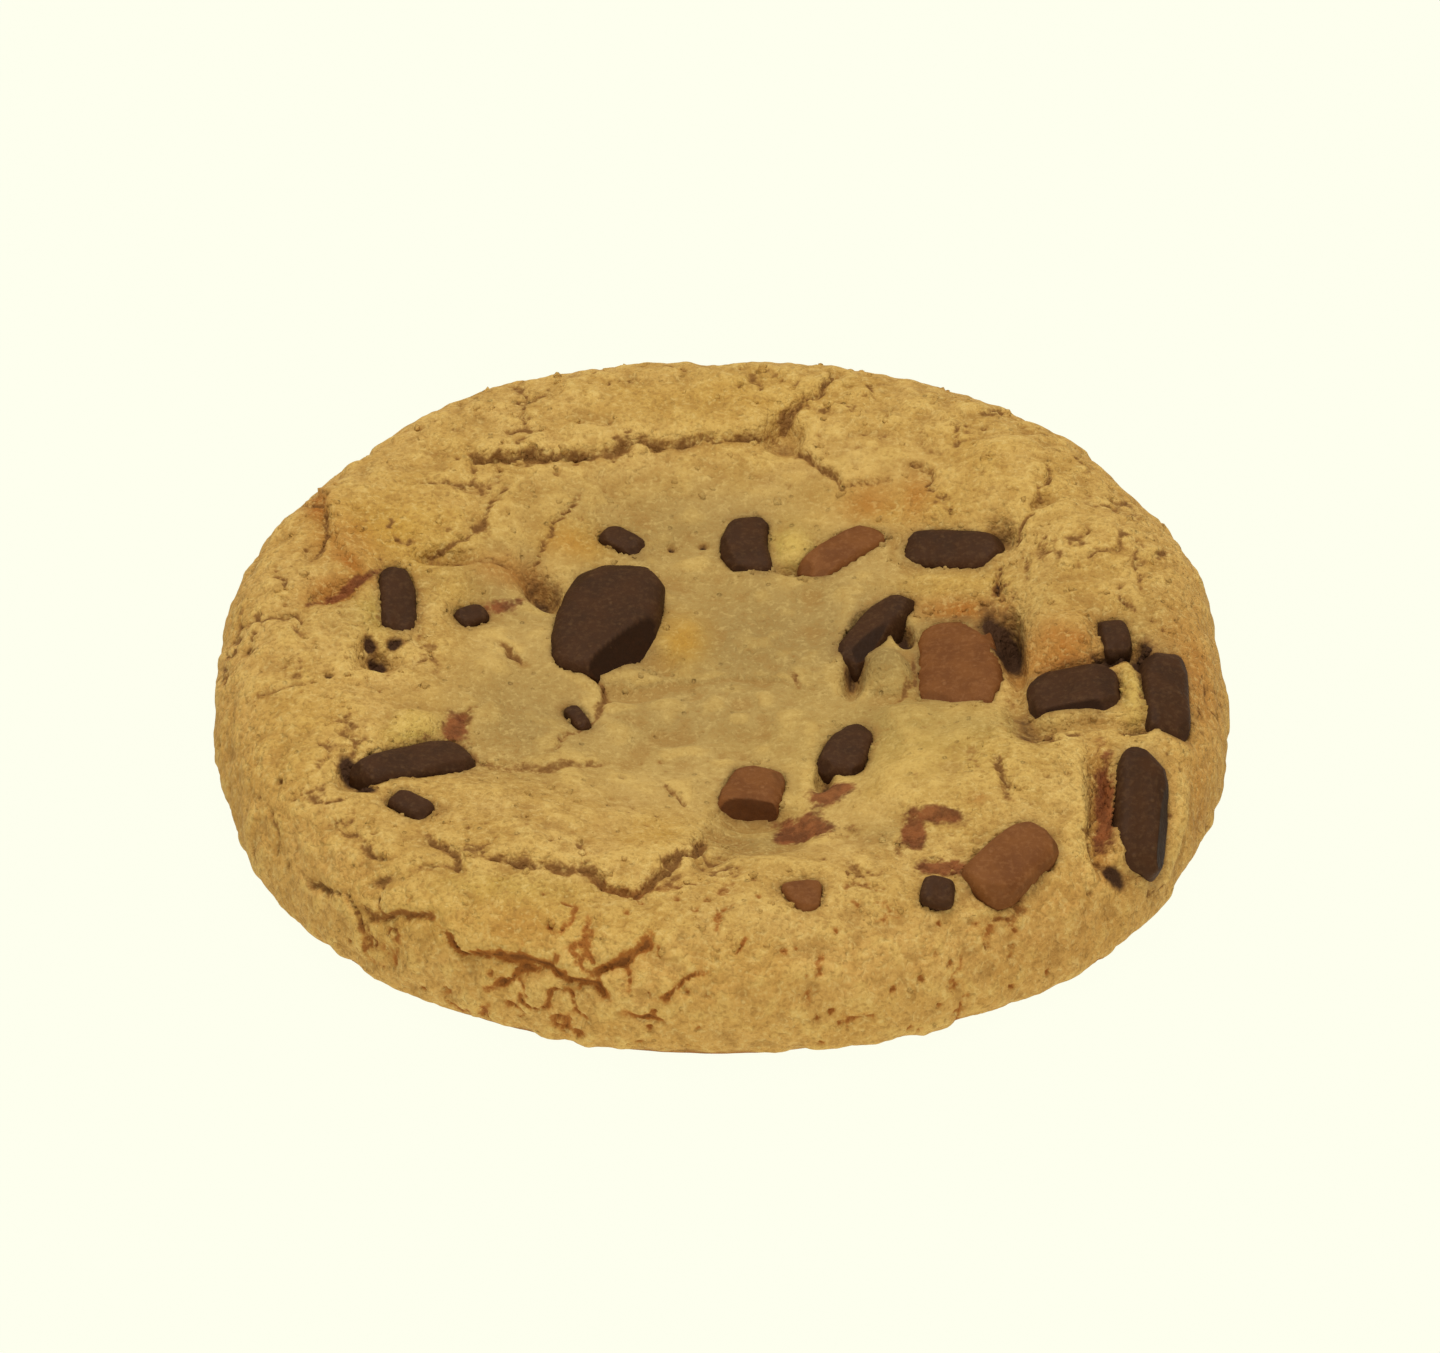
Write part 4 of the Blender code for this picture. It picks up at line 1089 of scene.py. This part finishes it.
def crumb_spots(chance):
    """Chart places of the loose crumbs: along the chunks' sides, and over the crust."""
    spots = []
    for chunk in CHUNKS.values():
        long, wide = chunk.halves[:2]
        count = int(SIDE_CRUMBS * 4.0 * (long + wide))
        angle = chance.uniform(0.0, 2.0 * np.pi, count)
        out = chance.uniform(*SIDE_CRUMBS_BAND, count)
        out = out / rounded(np.cos(angle), np.sin(angle), CHUNK_SQUARENESS)
        turn = np.radians(chunk.turn)
        along = long * out * np.cos(angle)
        across = wide * out * np.sin(angle)
        spots.append(np.stack([chunk.at[0] + along * np.cos(turn) - across * np.sin(turn),
                               chunk.at[1] + along * np.sin(turn) + across * np.cos(turn)], axis=1))
    near, far = CRUST_CRUMBS_REACH
    arc = np.sqrt(chance.uniform(near ** 2, far ** 2, CRUST_CRUMBS))
    angle = chance.uniform(0.0, 2.0 * np.pi, CRUST_CRUMBS)
    spots.append(np.stack([arc * np.cos(angle), arc * np.sin(angle)], axis=1))
    return np.concatenate(spots)


def make_crumbs(finish, shapes):
    """Loose crumbs, each a small uneven lump half sunk in the dough's surface."""
    chance = np.random.default_rng(CRUMB_SEED)
    spots = crumb_spots(chance)
    points, normals, height, _, attributes = dough_relief(spots[:, 0], spots[:, 1], shapes)
    keep = height > -TUCK_DEPTH / 2
    unit, quads = lump(CRUMB_CELLS)
    sizes = chance.uniform(*CRUMB_SIZES, len(spots))
    stretch = chance.uniform(*CRUMB_STRETCH, (len(spots), 1, 3))
    turned = chance.normal(size=(len(spots), 3, 3))
    turned = np.linalg.qr(turned)[0]
    turned *= np.sign(np.linalg.det(turned))[:, None, None]
    uneven = 1.0 + chance.uniform(-CRUMB_UNEVENNESS, CRUMB_UNEVENNESS, (len(spots), len(unit), 1))
    shape = (unit * uneven * stretch) @ turned * sizes[:, None, None]
    middle = points + normals * (height - CRUMB_SINK * sizes)[:, None]
    vertices = (middle[:, None, :] + shape)[keep]
    count = len(vertices)
    vertices = within_box(vertices.reshape(-1, 3))
    faces = (quads[None] + len(unit) * np.arange(count)[:, None, None]).reshape(-1, 4)
    attributes = {label: np.repeat(values[keep], len(unit)) for label, values in attributes.items()}
    piece = new_piece("loose_crumbs", vertices, faces.tolist(), finish, attributes)


class Number:
    """A shader number that can be written in a formula."""

    def __init__(self, finish, socket):
        self.finish = finish
        self.socket = socket

    def math(self, operation, *others):
        sockets = dict(enumerate((self,) + others))
        node = self.finish.node("ShaderNodeMath", {"operation": operation}, sockets)
        return Number(self.finish, node.outputs[0])

    def __add__(self, other):
        return self.math("ADD", other)

    def __sub__(self, other):
        return self.math("SUBTRACT", other)

    def __rsub__(self, other):
        return (self * -1.0) + other

    def __mul__(self, other):
        return self.math("MULTIPLY", other)

    __radd__ = __add__
    __rmul__ = __mul__

    def ramp(self, low, high):
        """0 below low, 1 above high, eased between."""
        settings = {"interpolation_type": "SMOOTHSTEP", "clamp": True}
        sockets = {"Value": self, "From Min": low, "From Max": high}
        node = self.finish.node("ShaderNodeMapRange", settings, sockets)
        return Number(self.finish, node.outputs[0])


class Finish:
    """A material and the nodes that make it."""

    def __init__(self, name, roughness, specular):
        self.material = bpy.data.materials.new(name)
        self.material.use_nodes = True
        self.tree = self.material.node_tree
        self.shader = self.tree.nodes["Principled BSDF"]
        self.shader.inputs["Specular IOR Level"].default_value = specular
        self.shader.inputs["Roughness"].default_value = roughness
        self.place = self.node("ShaderNodeTexCoord").outputs["Object"]

    def set(self, socket, value):
        """Gives a socket a value or a link."""
        value = getattr(value, "socket", value)
        if isinstance(value, bpy.types.NodeSocket):
            self.tree.links.new(value, socket)
        else:
            socket.default_value = value

    def node(self, kind, settings=None, sockets=None):
        """A node of a kind, with its settings, then the values or links of its sockets."""
        node = self.tree.nodes.new(kind)
        for name, value in (settings or {}).items():
            setattr(node, name, value)
        for name, value in (sockets or {}).items():
            self.set(node.inputs[name], value)
        return node

    def attribute(self, name):
        """A point attribute of the piece."""
        return Number(self, self.node("ShaderNodeAttribute", {"attribute_name": name}).outputs["Fac"])

    def noise(self, size, detail, roughness=0.55):
        """Cloudy noise from 0 to 1, with grains of a size in millimetres."""
        sockets = {"Vector": self.place, "Scale": 1.0 / (size * MILLIMETRE), "Detail": detail,
                   "Roughness": roughness}
        return Number(self, self.node("ShaderNodeTexNoise", None, sockets).outputs[0])

    def cells(self, size):
        """Distance to the nearest of scattered points, and a random number for each."""
        sockets = {"Vector": self.place, "Scale": 1.0 / (size * MILLIMETRE)}
        node = self.node("ShaderNodeTexVoronoi", None, sockets)
        random = self.node("ShaderNodeSeparateColor", None, {0: node.outputs["Color"]})
        return Number(self, node.outputs["Distance"]), Number(self, random.outputs[0])

    def mix(self, factor, first, second):
        """A colour between two, by a factor."""
        settings = {"data_type": "RGBA", "clamp_factor": True}
        node = self.node("ShaderNodeMix", settings)
        self.set(node.inputs[0], factor)
        for socket, value in ((node.inputs[6], first), (node.inputs[7], second)):
            self.set(socket, value if not isinstance(value, tuple) else (*value, 1.0))
        return node.outputs[2]

    def bump(self, height, distance):
        """A bumped normal from a height, which spans the distance in millimetres."""
        sockets = {"Height": height, "Distance": distance * MILLIMETRE}
        return self.node("ShaderNodeBump", None, sockets).outputs[0]

    def layers(self, colour, coats):
        """Coats of colour laid over each other in order, each by its mask."""
        for mask, shade in coats:
            colour = self.mix(mask, colour, shade)
        return colour


def srgb(red, green, blue):
    """A linear colour from screen values of 0 to 255."""
    values = np.array([red, green, blue]) / 255.0
    linear = np.where(values <= 0.04045, values / 12.92, ((values + 0.055) / 1.055) ** 2.4)
    return tuple(float(value) for value in linear)


def dough_finish():
    """Baked dough: mottled golden tan under coats of colour.

    First come the crust, the patches, some duller ones partly painted shade, the
    painted shade in cavities and painted light on crests, and the sandy grain with
    its pores and specks. Then come the ragged cracks with painted shade at the
    bottom of the deepest, the melted chocolate and painted contact shade beside
    chunks, the smears, the dark holes and painted shade in crevices, and the
    browner underside.
    """
    finish = Finish("baked dough", 0.8, 0.12)
    cloud = finish.noise(9.0, 2.0)
    patch = finish.noise(2.6, 3.0, 0.6)
    grain = finish.noise(0.75, 2.0, 0.6)
    fine = finish.noise(0.34, 1.0, 0.5)
    blotch = finish.noise(1.5, 3.0, 0.6)
    pore_distance, pore_random = finish.cells(1.1)
    speck_distance, speck_random = finish.cells(0.6)
    crumb_distance, _ = finish.cells(0.85)
    groove = finish.attribute("groove")
    crust = finish.attribute("crust")
    cavity_shade_and_crest_light = finish.attribute("cavity_shade_and_crest_light")
    toast = finish.attribute("toast")
    dull_and_shade = finish.attribute("dull_and_shade")
    sand = grain * 0.6 + fine * 0.4
    # Painted light on crests, weaker on the duller patches
    crest_highlight = (cavity_shade_and_crest_light * -1.0).ramp(0.1, 1.0) * (1.0 - dull_and_shade * 0.5) * 0.4
    pores = (1.0 - pore_distance.ramp(0.05, 0.26)) * pore_random.ramp(0.5, 0.7) * patch.ramp(0.38, 0.6)
    specks = (1.0 - speck_distance.ramp(0.12, 0.3)) * speck_random.ramp(0.84, 0.88)
    tan = finish.mix(cloud.ramp(0.35, 0.65), srgb(200, 163, 94), srgb(190, 151, 80))
    colour = finish.layers(tan, (
        (patch.ramp(0.42, 0.72) * 0.6, srgb(170, 130, 64)),
        (blotch.ramp(0.52, 0.74) * 0.4, srgb(222, 190, 116)),
        (crust * (0.15 + patch * 0.35), srgb(194, 150, 74)),
        (finish.attribute("middle") * 0.5, srgb(178, 150, 90)),
        # Duller grey-brown tone, partly painted shade in hollows and basins
        (dull_and_shade * 0.6, srgb(138, 112, 64)),
        (finish.attribute("side") * 0.35, srgb(208, 152, 78)),
        (finish.attribute("pale") * 0.75, srgb(188, 160, 72)),
        # Painted shade in cavities, then painted light on crests
        (cavity_shade_and_crest_light.ramp(0.15, 1.1) * 0.45, srgb(154, 112, 54)),
        (crest_highlight, srgb(220, 184, 104)),
        (finish.attribute("gold") * (0.25 + patch * 0.5), srgb(190, 144, 52)),
        (finish.attribute("orange") * (0.3 + patch * 0.7), srgb(168, 104, 38)),
        (sand.ramp(0.48, 0.66) * (0.22 + crust * 0.28), srgb(156, 112, 52)),
        ((1.0 - sand).ramp(0.5, 0.68) * (0.2 + crust * 0.18), srgb(228, 198, 124)),
        (pores * 0.2, srgb(134, 92, 42)),
        (specks * 0.22, srgb(140, 92, 42)),
    ))
    around = finish.mix(toast, srgb(160, 116, 58), srgb(184, 122, 52))
    crack = finish.mix(toast, srgb(118, 78, 37), srgb(148, 86, 32))
    uneven = sand + blotch - 1.0
    ragged = groove * (1.0 + toast * 0.35) + uneven * groove.ramp(0.0, 0.35) * 1.1
    stain = (finish.attribute("stain") + patch * 1.6 + sand * 0.7).ramp(1.45, 1.95)
    smear = finish.mix(blotch.ramp(0.35, 0.65), srgb(136, 76, 40), srgb(100, 52, 27))
    # Dark holes and painted shade in crevices and hollows, made uneven by blotches
    dark = finish.attribute("dark")
    dark = dark + (blotch - 0.5) * dark.ramp(0.0, 0.2) * 0.8
    baked = finish.mix(patch.ramp(0.3, 0.7), srgb(170, 112, 52), srgb(140, 86, 38))
    colour = finish.layers(colour, (
        (ragged.ramp(0.1, 0.6) * 0.5, around),
        (ragged.ramp(0.3, 0.85) * 0.85, crack),
        # Painted shade at the bottom of the deepest grooves
        (ragged.ramp(0.85, 1.35) * groove.ramp(0.5, 0.9) * 0.55, srgb(86, 50, 24)),
        # Melted chocolate stain and painted contact shade beside chunks
        (finish.attribute("melt_and_shade") * (0.15 + patch * 0.6), srgb(104, 68, 38)),
        (stain * 0.92, smear),
        # Painted shade and dark holes: brown, then nearly black where strongest
        (dark.ramp(0.2, 0.5) * 0.6, srgb(128, 86, 42)),
        (dark.ramp(0.38, 0.72), srgb(66, 42, 24)),
        (finish.attribute("under"), baked),
    ))
    finish.set(finish.shader.inputs["Base Color"], colour)
    height = (grain * 0.7 + fine * 0.45) * (0.6 + crust * 0.5) + pores * -0.5 + patch * 0.3
    height = height + crumb_distance * crust * -0.6
    finish.set(finish.shader.inputs["Normal"], finish.bump(height, 0.42))
    finish.set(finish.shader.inputs["Roughness"], 0.72 + grain * 0.2)
    return finish.material


def chocolate_finish(name, body, bloom, low, fresh_and_shade):
    """Chocolate: a soft sheen, pale bloom in clouds, small scuffs, darker fresh breaks, and painted
    shade on shaded cuts.
    """
    finish = Finish(name, 0.45, 0.06)
    cloud = finish.noise(3.0, 3.0, 0.6)
    grain = finish.noise(0.5, 3.0, 0.65)
    scuff_distance, scuff_random = finish.cells(0.9)
    scuffs = (1.0 - scuff_distance.ramp(0.1, 0.35)) * scuff_random.ramp(0.8, 0.85)
    colour = finish.layers(body, (
        (cloud.ramp(0.35, 0.7), low),
        (grain.ramp(0.45, 0.7) * 0.3, bloom),
        # Fresh breaks, and painted shade on shaded cuts, in the darkest colour
        (finish.attribute("fresh_and_shade") * (0.3 + grain * 0.8), fresh_and_shade),
        (scuffs * 0.35, bloom),
    ))
    finish.set(finish.shader.inputs["Base Color"], colour)
    finish.set(finish.shader.inputs["Roughness"], 0.42 + grain * 0.25)
    finish.set(finish.shader.inputs["Normal"], finish.bump(grain * 0.6 + scuffs * 0.5, 0.14))
    return finish.material


def floor_finish():
    """A plain pale ivory floor that glows softly, so hardly any shadow shows on it."""
    finish = Finish("pale floor", 0.9, 0.0)
    cloud = finish.noise(60.0, 2.0)
    colour = finish.mix(cloud, srgb(20, 20, 18), srgb(26, 26, 24))
    finish.set(finish.shader.inputs["Base Color"], colour)
    finish.set(finish.shader.inputs["Emission Color"], (*FLOOR_COLOUR, 1.0))
    finish.shader.inputs["Emission Strength"].default_value = FLOOR_GLOW
    return finish.material


def make_floor():
    """The floor that the cookie lies on, which isn't part of it."""
    corners = ((-1.0, -1.0), (1.0, -1.0), (1.0, 1.0), (-1.0, 1.0))
    points = np.array([(x * FLOOR_HALF, y * FLOOR_HALF, FLOOR_HEIGHT) for x, y in corners])
    mesh = bpy.data.meshes.new("floor")
    mesh.from_pydata((points * MILLIMETRE).tolist(), [], [(0, 1, 2, 3)])
    mesh.materials.append(floor_finish())
    floor = bpy.data.objects.new("floor", mesh)
    bpy.context.scene.collection.objects.link(floor)


def make_camera():
    """The camera at the photo's angle, aimed at the cookie."""
    rise = np.radians(CAMERA_RISE)
    aim = Vector(AIM) * MILLIMETRE
    away = Vector((0.0, -np.cos(rise), np.sin(rise))) * CAMERA_DISTANCE * MILLIMETRE
    data = bpy.data.cameras.new("camera")
    data.sensor_fit = "HORIZONTAL"
    data.sensor_width = SENSOR_WIDTH
    data.lens = SENSOR_WIDTH * CAMERA_DISTANCE * PIXELS_PER_MILLIMETRE / PHOTO_WIDTH
    data.clip_end = CAMERA_REACH
    camera = bpy.data.objects.new("camera", data)
    camera.location = aim + away
    camera.rotation_euler = (np.pi / 2 - rise, 0.0, 0.0)
    bpy.context.scene.collection.objects.link(camera)
    bpy.context.scene.camera = camera


def make_light():
    """Soft daylight from all round, and large soft lamps above."""
    world = bpy.data.worlds.new("daylight")
    world.use_nodes = True
    background = world.node_tree.nodes["Background"]
    background.inputs["Color"].default_value = (*SKY_COLOUR, 1.0)
    background.inputs["Strength"].default_value = SKY_LIGHT
    bpy.context.scene.world = world
    for number, (place, size, power) in enumerate(LAMPS):
        lamp = bpy.data.lights.new(f"soft_lamp_{number}", "AREA")
        lamp.shape = "DISK"
        lamp.size = size
        lamp.energy = power
        lamp.color = SKY_COLOUR
        holder = bpy.data.objects.new(lamp.name, lamp)
        holder.location = place
        holder.rotation_euler = (-Vector(place)).to_track_quat("-Z", "Y").to_euler()
        bpy.context.scene.collection.objects.link(holder)
    bpy.context.scene.view_settings.view_transform = "Standard"


make_camera()
make_light()
make_floor()
shapes = [chunk_shape(chunk, number) for number, chunk in enumerate(CHUNKS.values())]
baked = dough_finish()
make_dough(baked, shapes)
make_crumbs(baked, shapes)
# The last colour is that of fresh breaks, which also paints shade on shaded cuts
dark = chocolate_finish("dark chocolate", srgb(68, 42, 23), srgb(100, 72, 46), srgb(60, 38, 22),
                        srgb(34, 19, 9))
milk = chocolate_finish("milk chocolate", srgb(122, 75, 37), srgb(152, 104, 64), srgb(108, 64, 31),
                        srgb(76, 43, 20))
for (name, chunk), shape in zip(CHUNKS.items(), shapes):
    make_chunk(name, chunk, shape, milk if name.startswith("milk") else dark)
